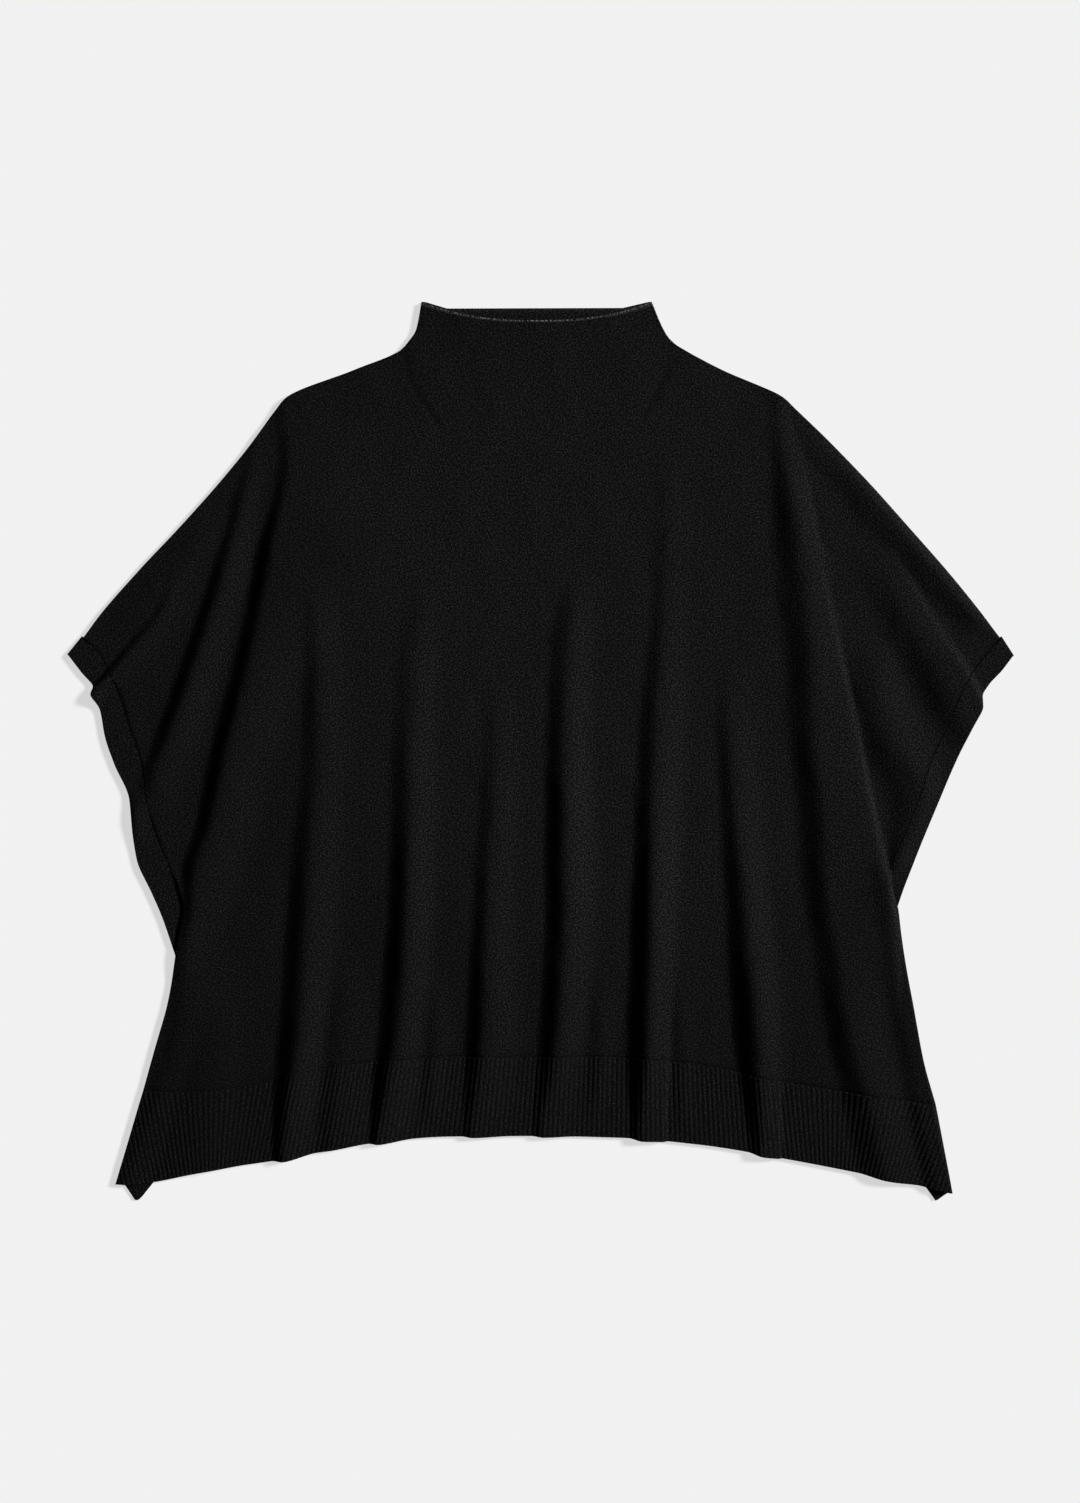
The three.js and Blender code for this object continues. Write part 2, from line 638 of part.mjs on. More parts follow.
function backPanel() {
  const left = backSide('left', LEFT_CUFF);
  const right = backSide('right', RIGHT_CUFF);
  left[left.length - 1].y += GAP / 2;
  right[right.length - 1].y = HEM[HEM.length - 1].seam + GAP / 2;
  return flatSheet([...left, ...hemSeamLine(GAP / 2), ...right.reverse(), ...BACK_NECK_EDGE.toReversed()]);
}

function backHemRib() {
  const leftTop = hemPoint(0, 0);
  const rightTop = hemPoint(1, 0);
  const bottom = HEM.slice(2, -2).map((row) => {
    const { x } = hemPoint(row.across, 1);
    return { x, y: row.edge + BACK_HEM_SHORTER };
  });
  return flatSheet([
    { x: leftTop.x + EDGE_INSET, y: leftTop.y },
    { x: HEM_BOTTOM_LEFT + EDGE_INSET, y: HEM[0].edge + EDGE_INSET },
    ...BACK_HEM_LEFT_TIP,
    ...bottom,
    ...BACK_HEM_RIGHT_TIP,
    { x: HEM_BOTTOM_RIGHT - EDGE_INSET, y: HEM[HEM.length - 1].edge + EDGE_INSET },
    { x: rightTop.x - EDGE_INSET, y: rightTop.y },
    ...hemSeamLine(-GAP / 2).reverse(),
  ]);
}

// Plan direction square to a section of a band, up the garment or down it
function foldDirection(section, sense) {
  const alongX = section.edgeX - section.seamX;
  const alongY = section.edgeY - section.seamY;
  const length = Math.hypot(alongX, alongY);
  const square = { x: -alongY / length, y: alongX / length };
  const flip = square.y * sense < 0 ? -1 : 1;
  return { x: flip * square.x, y: flip * square.y };
}

// A band is one flattened loop: its front half, a fold at the lower end, its back half and a
// fold at the sleeve's tip. Each ring is a cut through the band from its seam to its open edge.
function armholeBand(cuff) {
  const middle = FRONT_BASE - GAP / 2;
  const seamPoint = (section) => {
    const alongX = section.edgeX - section.seamX;
    const alongY = section.edgeY - section.seamY;
    const length = Math.hypot(alongX, alongY);
    const gap = CUFF_SEAM_GAP / length;
    return { x: section.seamX + gap * alongX, y: section.seamY + gap * alongY };
  };
  const rings = [];
  const addRing = (section, turn, outX, seamHeight, edgeHeight) => {
    const seam = seamPoint(section);
    const point = (at, out, height) => new THREE.Vector3(at.x + turn.x * out, at.y + turn.y * out, height);
    const edge = { x: section.edgeX, y: section.edgeY };
    rings.push([
      point(seam, outX.outer, seamHeight.outer),
      point(edge, outX.outer, edgeHeight.outer),
      point(edge, outX.inner, edgeHeight.inner),
      point(seam, outX.inner, seamHeight.inner),
    ]);
  };
  const still = { x: 0, y: 0 };
  const noShift = { outer: 0, inner: 0 };
  const addFold = (section, turn, turns) => {
    const inner = GAP / 2;
    const outer = WALL + GAP / 2;
    for (const angle of turns) {
      const shift = { outer: outer * Math.sin(angle), inner: inner * Math.sin(angle) };
      const height = { outer: middle + outer * Math.cos(angle), inner: middle + inner * Math.cos(angle) };
      addRing(section, turn, shift, height, height);
    }
  };
  const last = cuff.length - 1;
  cuff.forEach((section, i) => {
    const isFlat = i === 0 || i > last - CUFF_TUCKED;
    const lift = isFlat ? 0 : foldLift(section.seamX, section.seamY);
    const seamHeight = { outer: FRONT_BASE + lift + WALL, inner: FRONT_BASE + lift };
    const edgeLift = lift * CUFF_EDGE_LIFT;
    const edgeHeight = { outer: FRONT_BASE + edgeLift + WALL, inner: FRONT_BASE + edgeLift };
    addRing(section, still, noShift, seamHeight, edgeHeight);
  });
  addFold(cuff[last], foldDirection(cuff[last], -1), FOLD_TURNS);
  for (let i = last; i >= 0; i -= 1) {
    const height = { outer: 0, inner: WALL };
    addRing(cuff[i], still, noShift, height, height);
  }
  addFold(cuff[0], foldDirection(cuff[0], 1), FOLD_TURNS.toReversed());

  const points = rings.flat();
  const corners = 4;
  const faces = [];
  for (let r = 0; r < rings.length; r += 1) {
    const next = (r + 1) % rings.length;
    for (let k = 0; k < corners; k += 1) {
      const beside = (k + 1) % corners;
      const [a, b] = [r * corners + k, r * corners + beside];
      const [c, d] = [next * corners + k, next * corners + beside];
      faces.push([a, b, d], [a, d, c]);
    }
  }
  return body(points, faces);
}

const group = new THREE.Group();

function add(name, geometry) {
  const mesh = new THREE.Mesh(geometry, new THREE.MeshStandardMaterial(YARN));
  mesh.name = name;
  group.add(mesh);
}

add('back_panel', backPanel());
add('back_hem_rib', backHemRib());
add('front_panel', frontPanel());
add('front_hem_rib', frontHemRib());
add('left_armhole_band', armholeBand(LEFT_CUFF));
add('right_armhole_band', armholeBand(RIGHT_CUFF));

export default group;
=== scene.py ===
"""A knitted poncho sweater laid flat on a pale floor, seen from straight above.

The cloth is built in millimetres and turned into metres where a mesh is made. Each piece is a
closed shell with rounded edges that stands for its solid in the frame.
"""

import math

import bmesh
import bpy
import numpy as np
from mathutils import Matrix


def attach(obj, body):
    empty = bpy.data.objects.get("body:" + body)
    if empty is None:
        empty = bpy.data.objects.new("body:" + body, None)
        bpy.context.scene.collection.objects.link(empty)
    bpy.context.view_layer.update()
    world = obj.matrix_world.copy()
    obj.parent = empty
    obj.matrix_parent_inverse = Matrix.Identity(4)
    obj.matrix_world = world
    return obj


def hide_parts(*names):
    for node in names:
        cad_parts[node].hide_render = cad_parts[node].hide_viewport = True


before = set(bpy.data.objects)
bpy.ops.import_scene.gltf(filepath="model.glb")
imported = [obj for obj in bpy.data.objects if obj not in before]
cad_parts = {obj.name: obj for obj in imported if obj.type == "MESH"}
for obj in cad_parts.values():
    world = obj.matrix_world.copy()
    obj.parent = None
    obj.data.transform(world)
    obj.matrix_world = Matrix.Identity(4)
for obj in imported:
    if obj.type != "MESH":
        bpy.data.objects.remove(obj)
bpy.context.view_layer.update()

# Cloth: the wall and its clearance are those of the solids, and seams are drawn closer
MM = 0.001
WALL = 2.0
GAP = 0.3
SEAM_GAP = 0.16
SEAM_INSET = 0.3  # rounding of an edge that is sewn
FRONT_BASE = WALL + GAP
FRONT_TOP = FRONT_BASE + WALL
EDGE_INSET = 0.4
HEM_STAGGER = 1.2  # the back's hem seam lies this far above the front's, so no slit goes through
BAND_STAGGER = 0.9  # a band's back half reaches this far in under the front
RIB_PITCH = 4.3
BAND_WALE = 2.5

NECK_TOP = 404.0
NECK_BASE = 360.5
NECK_MIDDLE = -4.0
NECK_HALF_WIDTH = 104.0
NECK_DIP = 17.0
NECK_DIP_POWER = 2.4
NECK_LOFT = 3.0
NECK_LOFT_START = 325.0
HEM_BLEND_START = -141.0
SLEEVE_TIP = 102.0
UNDERARM = -139.0
CUT_STEP = 0.5  # the back's cut for a band's end keeps its two corners this far apart


def table(columns, *rows):
    """Named columns of a short table, sorted by the first one."""
    values = np.array(sorted(rows), float).T
    return dict(zip(columns.split(), values))


def straight(rows, key, at, column):
    """A column of a table read between its rows, on straight lines."""
    return np.interp(at, rows[key], rows[column])


def rounded(rows, key, at, column):
    """A column of a table read between its rows, on a smooth run through them."""
    x, v = rows[key], rows[column]
    secant = np.diff(v) / np.diff(x)
    slope = np.empty(len(x))
    slope[0], slope[-1] = secant[0], secant[-1]
    before, after = secant[:-1], secant[1:]
    agree = before * after > 0
    total = np.where(agree, before + after, 1.0)
    slope[1:-1] = np.where(agree, 2 * before * after / total, 0.0)
    i = np.clip(np.searchsorted(x, at, side="right") - 1, 0, len(x) - 2)
    span = x[i + 1] - x[i]
    t = np.clip((at - x[i]) / span, 0, 1)
    u = 1 - t
    from_values = v[i] * (1 + 2 * t) * u * u + v[i + 1] * t * t * (3 - 2 * t)
    return from_values + span * t * u * (slope[i] * u - slope[i + 1] * t)


def ease(t):
    """A smooth step from 0 to 1."""
    s = np.clip(t, 0, 1)
    return s * s * (3 - 2 * s)


OUTLINE = table(
    "y left right",
    (404, -107, 100), (378.5, -112, 111), (368, -119, 118.5), (360.5, -126, 130),
    (343.5, -166, 162), (318, -228, 218), (307.5, -237.5, 229.5), (278, -259, 260),
    (240, -290, 296.5), (203, -323, 329.5), (161.5, -362, 366), (125, -394, 395.5),
    (102, -411, 413), (86, -395.5, 399.5), (73.5, -388.5, 389.5), (52, -379, 376.5),
    (18.5, -368.5, 363), (-11.5, -358, 349.5), (-44.5, -354, 338), (-79.5, -343.5, 324),
    (-100.5, -335.5, 314.5), (-123, -324.5, 315.5), (-141, -320.5, 321),
    (-162.5, -324.5, 324), (-185, -328, 327.5), (-223.5, -334.5, 335),
    (-268.5, -347, 344), (-304.5, -357, 355),
)
HEM_ROW = OUTLINE["y"][0]

# Armhole bands from the sleeve's tip down, a section in each row. The last two are tucked.
CUFF_COLUMNS = "i seam_x seam_y edge_x edge_y"
CUFFS = {
    "left": table(
        CUFF_COLUMNS,
        (0, -411, 102, -424, 86), (1, -395.5, 86, -412.5, 71), (2, -388.5, 73.5, -402, 58),
        (3, -382.5, 60, -403.5, 51.5), (4, -379, 52, -396, 37.5),
        (5, -368.5, 18.5, -391.5, 13.5), (6, -358, -11.5, -383, -11.5),
        (7, -354, -44.5, -369.5, -43), (8, -343.5, -79.5, -366, -78),
        (9, -335.5, -100.5, -362.5, -98.5), (10, -325.5, -123, -349.5, -127),
        (11, -319, -144, -340, -149), (12, -314, -175, -328, -184),
    ),
    "right": table(
        CUFF_COLUMNS,
        (0, 413, 102, 424, 85), (1, 399.5, 86, 414.5, 72.5), (2, 389.5, 73.5, 403, 60),
        (3, 381.5, 60, 397, 49), (4, 376.5, 52, 397, 40.5), (5, 363, 18.5, 386.5, 19),
        (6, 349.5, -11.5, 372, -12), (7, 338, -44.5, 358.5, -43.5),
        (8, 324, -79.5, 343.5, -79.5), (9, 314.5, -100.5, 335, -101),
        (10, 311, -124.5, 326.5, -123), (11, 307.5, -139, 321, -139),
    ),
}
CUFF_TUCKED = 2
CUFF_SEAM_GAP = 0.45

# The front's edge is raised where a band goes in under it, from the top to the bottom and fading
TUCK_LIFT = 2.4
TUCK_REACH = 26.0
TUCKS = {"left": (-123.0, -185.0, 20.0), "right": (-100.5, -141.0, 19.0)}  # top, bottom, fade

HEM = table(
    "across seam edge",
    (0, -304.5, -389), (0.03, -305.5, -388), (0.1, -303.5, -377.5), (0.2, -288, -366.5),
    (0.3, -277.5, -352.5), (0.4, -274, -346), (0.5, -274, -345.5), (0.6, -274.5, -347),
    (0.7, -281, -353.5), (0.8, -295.5, -366), (0.9, -307, -380.5), (1, -317, -396),
)
HEM_BOTTOM = {"left": -382.0, "right": 370.0}
HEM_RIBS = 170
SPARE_RIBS = 10  # more ribs past each side, which cuts them off where they lean
RIB_RISE = 0.8
RIB_ROUNDNESS = 0.7  # of ribs and of a band's wales: the lower, the narrower the grooves
RIB_FADE = 0.0025  # share of the hem's width over which the ribs rise from its side edges
RIB_LEAN = 42.0  # how far the ribs at the hem's corners lean in
RIB_LEAN_START = 0.2  # share of the hem's width where they begin to
HEM_WAVE = 0.35  # how far the hem's edge is drawn down where a fold lifts it, for each mm of lift
BACK_HEM_SHORTER = 4.0
BACK_HEM_TIPS = (  # x and y of the back's corners, which show below those of the front
    (-374, -390), (-364.5, -404.5), (-360, -402), (-344, -382),
    (331, -388), (347, -392), (356, -404.5), (365, -398),
)
BACK_HEM_PLAIN = (-340, 325)  # between these the back follows the front's edge
BACK_NECK_EDGE = table("x y", (-104, 404.5), (-84, 398.5), (74, 399), (97.5, 404.5))


def softer(amount, fold):
    """A fold whose bends are rounded more than those of the others."""
    return {**fold, "softness": amount}


# Folds of the front. The cloth climbs from the foot to the crest and falls gently to the tail;
# with roll it stays high and rolls over at the tail instead.
FOLD_COLUMNS = "y foot crest tail rise roll"
FOLDS = (
    # left body
    table(
        FOLD_COLUMNS,
        (301, -240, -229, -160, 2, 0), (268, -238, -224, -120, 4, 0),
        (172, -258, -239, -100, 9.5, 0), (68, -281, -261, -205, 10, 0),
        (10, -296, -276, -228, 10.5, 0), (-65, -311, -293, -246, 9, 0),
        (-111, -324, -308, -262, 8, 0), (-125, -323, -309, -266, 6.5, 0),
        (-139, -321, -310, -270, 5, 0), (-163, -325, -314, -278, 4, 0),
        (-190, -331, -318, -286, 3, 0), (-240, -339, -322, -298, 2.5, 0),
        (-389, -383, -371, -345, 2, 0),
    ),
    # left edge above the hem
    table(
        FOLD_COLUMNS,
        (-185, -326, -300, -270, 0, 0), (-251, -338, -297, -262, 3.2, 0),
        (-335, -360, -300, -262, 3.2, 0), (-389, -372, -305, -262, 3, 0),
    ),
    # small creases between the folds near the hem, from left to right
    table(
        FOLD_COLUMNS,
        (-180, -195, -178, -155, 0, 0), (-251, -197, -178, -148, 2.2, 0),
        (-335, -202, -183, -143, 2.8, 0), (-370, -205, -186, -148, 2, 0),
    ),
    table(
        FOLD_COLUMNS,
        (-200, -104, -92, -78, 0, 0), (-251, -108, -94, -78, 2, 0), (-300, -110, -97, -84, 1.5, 0),
        (-335, -112, -100, -88, 0, 0),
    ),
    table(
        FOLD_COLUMNS,
        (-200, 42, 54, 70, 0, 0), (-251, 42, 55, 72, 2, 0), (-300, 40, 52, 66, 1.5, 0),
        (-330, 38, 50, 62, 0, 0),
    ),
    table(
        FOLD_COLUMNS,
        (-200, 112, 124, 138, 0, 0), (-251, 115, 127, 142, 1.5, 0),
        (-310, 116, 128, 142, 1.2, 0), (-345, 116, 128, 142, 0, 0),
    ),
    # left cuff
    table(
        FOLD_COLUMNS,
        (-30, -372, -362, -350, 0, 0), (-57, -372, -364, -350, 3.5, 0),
        (-90, -370, -360, -348, 0, 0),
    ),
    # left side
    table(
        FOLD_COLUMNS,
        (160, -214, -199, -176, 0, 0), (91, -215, -199, -174, 4, 0),
        (10, -218, -198, -172, 4.8, 0), (-134, -230, -208, -176, 9, 0),
        (-251, -238, -214, -190, 10.5, 0), (-300, -241, -222, -195, 9, 0),
        (-355, -242, -230, -202, 5.5, 0),
    ),
    # left of middle
    table(
        FOLD_COLUMNS,
        (163, -123, -107, -88, 0, 0), (10, -137, -115, -90, 5, 0),
        (-134, -139, -118, -92, 9.5, 0), (-251, -148, -126, -100, 10.5, 0),
        (-295, -152, -135, -104, 8.5, 0), (-346, -155, -145, -112, 4.8, 0),
    ),
    # middle left
    table(
        FOLD_COLUMNS,
        (71, -54, -40, -18, 0, 0), (10, -55, -39, -14, 2.8, 0), (-62, -59, -42, -15, 3.8, 0),
        (-134, -63, -46, -17, 6, 0), (-251, -69, -50, -14, 8.5, 0),
        (-290, -70, -54, -18, 6.5, 0), (-333, -71, -61, -24, 3.2, 0),
    ),
    # middle right
    table(
        FOLD_COLUMNS,
        (163, 22, 36, 54, 0, 0), (100, 7, 27, 52, 5, 0), (10, 2, 23, 50, 8, 0),
        (-134, 2, 24, 54, 10, 0), (-251, -3, 17, 44, 9, 0), (-290, -6, 12, 40, 6.5, 0),
        (-328, -8, 2, 34, 3, 0),
    ),
    # right of middle
    table(
        FOLD_COLUMNS,
        (276, 100, 115, 135, 0, 0), (136, 97, 112, 138, 3, 0), (10, 85, 104, 134, 6.5, 0),
        (-134, 80, 101, 127, 10.5, 0), (-251, 77, 98, 116, 11, 0.3),
        (-290, 77, 95, 115, 9, 0.4), (-337, 79, 91, 113, 4.8, 0.5),
    ),
    # right side
    table(
        FOLD_COLUMNS,
        (82, 154, 169, 193, 0, 0), (10, 156, 171, 199, 3.5, 0),
        (-134, 163, 184, 211, 8, 0), (-251, 171, 195, 219, 11, 0),
        (-300, 178, 197, 216, 8.5, 0.3), (-351, 186, 199, 216, 4.8, 0.5),
    ),
    # right body
    table(
        FOLD_COLUMNS,
        (298, 201, 214, 224, 1.5, 0.4), (268, 203, 220, 234, 4, 0.4),
        (172, 206, 235, 253, 9, 0.5), (91, 214, 244, 270, 9, 0.6), (10, 220, 248, 287.5, 9, 0.7),
        (-62, 227, 256, 303, 9.5, 1), (-134, 233, 261, 318, 9.5, 0.9),
        (-179, 241, 268, 324, 9, 0.6), (-251, 253, 279, 322, 9, 0),
        (-323, 270, 298, 336, 7, 0), (-386, 286, 310, 346, 5, 0),
    ),
    # right edge
    table(
        FOLD_COLUMNS,
        (-100, 288, 306, 316, 0, 1), (-141, 296, 313, 321.5, 2, 1),
        (-251, 312, 330, 341, 3, 1), (-396, 342, 359, 371, 3, 1),
    ),
    # left sleeve
    table(
        FOLD_COLUMNS,
        (274, -265, -255, -244, 1, 0), (172, -294, -279, -258, 6.5, 0),
        (75, -326, -309, -285, 9, 0), (10, -350, -332, -302, 9, 0),
        (-18, -360, -344, -313, 6, 0), (-70, -371, -356, -328, 0, 0),
    ),
    # left sleeve tip
    table(
        FOLD_COLUMNS,
        (162, -333, -321, -300, 0, 0), (130, -346, -335, -312, 4, 0),
        (100, -369, -359, -334, 5.5, 0), (73, -391, -381, -363, 7.5, 0),
        (52, -410, -400, -387, 6.5, 0), (28, -424, -414, -398, 0, 0),
    ),
    # right sleeve tip
    softer(2.0, table(
        FOLD_COLUMNS,
        (190, 256, 290, 310, 0, 0.8), (108, 304, 342, 361, 6.5, 0.8), (54, 334, 370, 395, 8, 0.9),
        (25, 350, 381, 404, 6, 0.8), (-5, 366, 394, 410, 0, 0.8),
    )),
    # right sleeve
    softer(2.0, table(
        FOLD_COLUMNS,
        (104, 266, 294, 318, 0, 0), (46, 274, 306, 334, 6, 0), (10, 281, 317, 356, 7.5, 0),
        (-32, 302, 340, 366, 6.5, 0), (-62, 311, 336, 356, 4.2, 0), (-90, 311, 323, 341, 4.2, 0),
        (-110, 308, 317, 334, 3.5, 0), (-135, 306, 314, 328, 0, 0),
    )),
    # left sleeve top
    softer(3.0, table(
        FOLD_COLUMNS,
        (215, -315, -290, -272, 0, 0), (172, -351, -318, -296, 3.5, 0),
        (130, -389, -355, -330, 3.5, 0), (104, -409, -380, -352, 0, 0),
    )),
    # right sleeve top
    softer(3.0, table(
        FOLD_COLUMNS,
        (300, 195, 228, 238, 0, 0), (240, 255, 288, 297, 3.5, 0), (172, 313, 348, 357, 5.5, 0),
        (130, 352, 383, 392, 4.8, 0), (104, 380, 404, 412, 0, 0),
    )),
)
ROLL_POWER = 18  # how late a rolled tail falls
SOFTENING = (-1.4, -0.7, 0.0, 0.7, 1.4)  # a fold is the mean of copies shifted by these
CROWD = 2.5  # columns of the front lie this much closer, less one, where a fold climbs
CROWD_REACH = 13.0
CROWD_FULL_RISE = 4.0
CROWD_SAMPLES = 600
ROLL_INWARD = 2.0  # a rolled tail is steepest this far before its end

# Slanted lines of fashioning stitches at the foot of the funnel neck
FASHIONING = (
    table("y x", (361.4, -122), (334.4, -116), (320.9, -108.5), (314.6, -104.9), (292, -89.1)),
    table("y x", (352.4, 118.4), (334.4, 112.1), (314.6, 101.3), (298.4, 92.3)),
)
FASHIONING_DEPTH = 0.6
FASHIONING_WIDTH = 2.6
FASHIONING_FADE = 9.0

# Slow unevenness of soft knit: height, length across, length along, phase
UNEVENNESS = ((0.28, 61.0, 190.0, 0.4), (0.14, 33.0, 87.0, 2.1), (0.08, 17.0, 41.0, 4.4))
SWAY = 1.8  # how far the waves run askew, in radians
LOWEST_UNEVENNESS = -0.2

# Fineness of the shells
FRONT_COLUMNS = 250
FRONT_BANDS_OF_ROWS = (
    (NECK_TOP, NECK_BASE, 12), (NECK_BASE, 285, 36), (285, 150, 28), (150, SLEEVE_TIP, 16),
    (SLEEVE_TIP, 40, 22), (40, HEM_BLEND_START, 40), (HEM_BLEND_START, HEM_ROW, 34),
)
BACK_COLUMNS = 120
BACK_ROWS = 110
BACK_SIDE_ROWS = 60
RIB_STEPS = 6
HEM_STEPS = 24
BACK_RIB_STEPS = 2
BACK_HEM_STEPS = 10
BAND_STEP = 2.2
BAND_ACROSS = 44
BAND_INSIDE = 7
EDGE_ANGLES = (55, 20, -20, -55)
BAND_EDGE_ANGLES = (60, 30, 0, -30, -60)
FOLD_ANGLES = tuple(range(15, 180, 15))
LEAST_STEP = 0.05  # slopes are worked out as if no two columns lay closer
EVENING_PASSES = 3

# Armhole bands: the rounding of the free edge, the wales along the band and the painted highlight on the
# edge
BAND_EDGE = 1.0
BAND_WALES = 8.5
BAND_GROOVE = 0.22
BAND_EDGE_HIGHLIGHT = 0.15

# Painted highlights on bends and edges. Painted shade in seams, grooves and the fashioning lines is taken
# off them.
PAINTED_MARK_GAIN = 5.5  # how much the painted light brightens the yarn for a mark of one
EDGE_PAINT_ON_TOP = 0.6  # share of an edge's painted light that the top beside it has
BEND_HIGHLIGHT = 0.05
BEND_START = 0.16
BEND_FULL = 0.25
FUNNEL_HIGHLIGHT = 0.7
FUNNEL_HIGHLIGHT_FROM = 350.0
RIB_BRIGHTER = 0.025
RIB_SHADE = 0.07
LINE_SHADE = 0.11
SEAM_SHADE = {"left": 0.0, "right": 0.16}

# Painted shade: the yarn is plain on the chest and painted dimmer far from it and in some round places
CHEST = (120.0, 120.0)
PAINTED_DIMMING = 0.33
DIM_START = 200.0
DIM_REACH = 220.0
PAINTED_DIM_PLACES = ((-310.0, -320.0, 150.0, 0.3), (-190.0, 175.0, 75.0, 0.25))  # x, y, reach, share


def ridge(x, at):
    """Height of a fold across its width."""
    climb = np.clip((x - at["foot"]) / (at["crest"] - at["foot"]), 0, 1)
    fall = np.clip((x - at["crest"]) / (at["tail"] - at["crest"]), 0, 1)
    gentle = (1 + np.cos(np.pi * fall)) / 2
    rolled = 1 - fall**ROLL_POWER
    down = gentle + at["roll"] * (rolled - gentle)
    return at["rise"] * np.where(x < at["crest"], ease(climb), down)


def fold_lift(x, y):
    """Height of all folds together."""
    lift = np.zeros(np.broadcast(x, y).shape)
    for fold in FOLDS:
        at = {name: rounded(fold, "y", y, name) for name in FOLD_COLUMNS.split()[1:]}
        for offset in SOFTENING:
            lift += ridge(x + offset * fold.get("softness", 1.0), at) / len(SOFTENING)
    return lift


def neck_loft(x, y):
    """Height of the funnel's front, which stands open a little."""
    across = 1 - ((x - NECK_MIDDLE) / NECK_HALF_WIDTH) ** 2
    upward = ease((y - NECK_LOFT_START) / (NECK_TOP - NECK_LOFT_START))
    return NECK_LOFT * np.maximum(0, across) * upward


def tuck_lift(x, y):
    """Height of the front's edge over the tucked ends of the bands."""
    lift = np.zeros(np.broadcast(x, y).shape)
    for side, (top, bottom, fade) in TUCKS.items():
        inward = np.abs(x - straight(OUTLINE, "y", y, side))
        above = np.clip((y - top) / fade, 0, 1)
        below = np.clip((bottom - y) / fade, 0, 1)
        lift += TUCK_LIFT * (1 - above) * (1 - below) * (1 - ease(inward / TUCK_REACH))
    return lift


def fashioning(x, y):
    """The lines of fashioning stitches: 1 on a line, 0 away from it."""
    depth = np.zeros(np.broadcast(x, y).shape)
    for line in FASHIONING:
        away = (x - rounded(line, "y", y, "x")) / FASHIONING_WIDTH
        inside = np.minimum(y - line["y"][0], line["y"][-1] - y)
        depth += np.exp(-(away**2)) * ease(inside / FASHIONING_FADE + 0.5)
    return depth


def unevenness(x, y):
    """Height of the slow waves of soft knit."""
    height = np.zeros(np.broadcast(x, y).shape)
    for rise, across, along, phase in UNEVENNESS:
        sway = SWAY * np.sin(2 * np.pi * y / along + phase)
        height += rise * np.sin(2 * np.pi * x / across + sway + 2 * phase)
    return np.maximum(height, LOWEST_UNEVENNESS)


def lift_of(x, y):
    """How far the front's cloth is raised off its place on the back."""
    return fold_lift(x, y) + neck_loft(x, y) + tuck_lift(x, y)


def side_of(side, y):
    """Where the front's edge runs: smooth, apart from the corner at the sleeve's tip."""
    key, at = OUTLINE["y"], OUTLINE[side]
    upper = {"y": key[key >= SLEEVE_TIP], "x": at[key >= SLEEVE_TIP]}
    lower = {"y": key[key <= SLEEVE_TIP], "x": at[key <= SLEEVE_TIP]}
    return np.where(y >= SLEEVE_TIP, rounded(upper, "y", y, "x"), rounded(lower, "y", y, "x"))


def painted_light_of(points, painted_marks):
    """Painted light and shade on the yarn: plain on the chest, painted shade far from it and in some
    round places, painted highlights and shade from the marks.
    """
    away = np.hypot(points[:, 0] - CHEST[0], points[:, 1] - CHEST[1])
    painted_light = (1 + PAINTED_MARK_GAIN * painted_marks) * (1 - PAINTED_DIMMING * ease((away - DIM_START) / DIM_REACH))
    # Painted shade in a few round places
    for x, y, reach, share in PAINTED_DIM_PLACES:
        near = 1 - ease(np.hypot(points[:, 0] - x, points[:, 1] - y) / reach)
        painted_light = painted_light * (1 - share * near)
    return painted_light


def make_piece(name, points, faces, knit, painted_marks, material, slot):
    """A mesh in metres with the knit's own coordinates and the painted light and shade of its yarn."""
    used = np.unique(np.concatenate([np.asarray(face) for face in faces]))
    renumber = np.full(len(points), -1)
    renumber[used] = np.arange(len(used))
    mesh = bpy.data.meshes.new(name)
    mesh.from_pydata(points[used] * MM, [], [renumber[list(face)].tolist() for face in faces])
    knit_values = np.column_stack([knit[used], np.zeros(len(used))])
    mesh.attributes.new("knit", "FLOAT_VECTOR", "POINT").data.foreach_set("vector", knit_values.ravel())
    painted_light = painted_light_of(points, painted_marks)
    mesh.attributes.new("painted_light", "FLOAT", "POINT").data.foreach_set("value", painted_light[used])
    work = bmesh.new()
    work.from_mesh(mesh)
    bmesh.ops.recalc_face_normals(work, faces=work.faces)
    work.to_mesh(mesh)
    work.free()
    mesh.shade_smooth()
    mesh.materials.append(material)
    piece = bpy.data.objects.new(name, mesh)
    bpy.context.scene.collection.objects.link(piece)
    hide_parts(name)
    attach(piece, "root")
    return piece


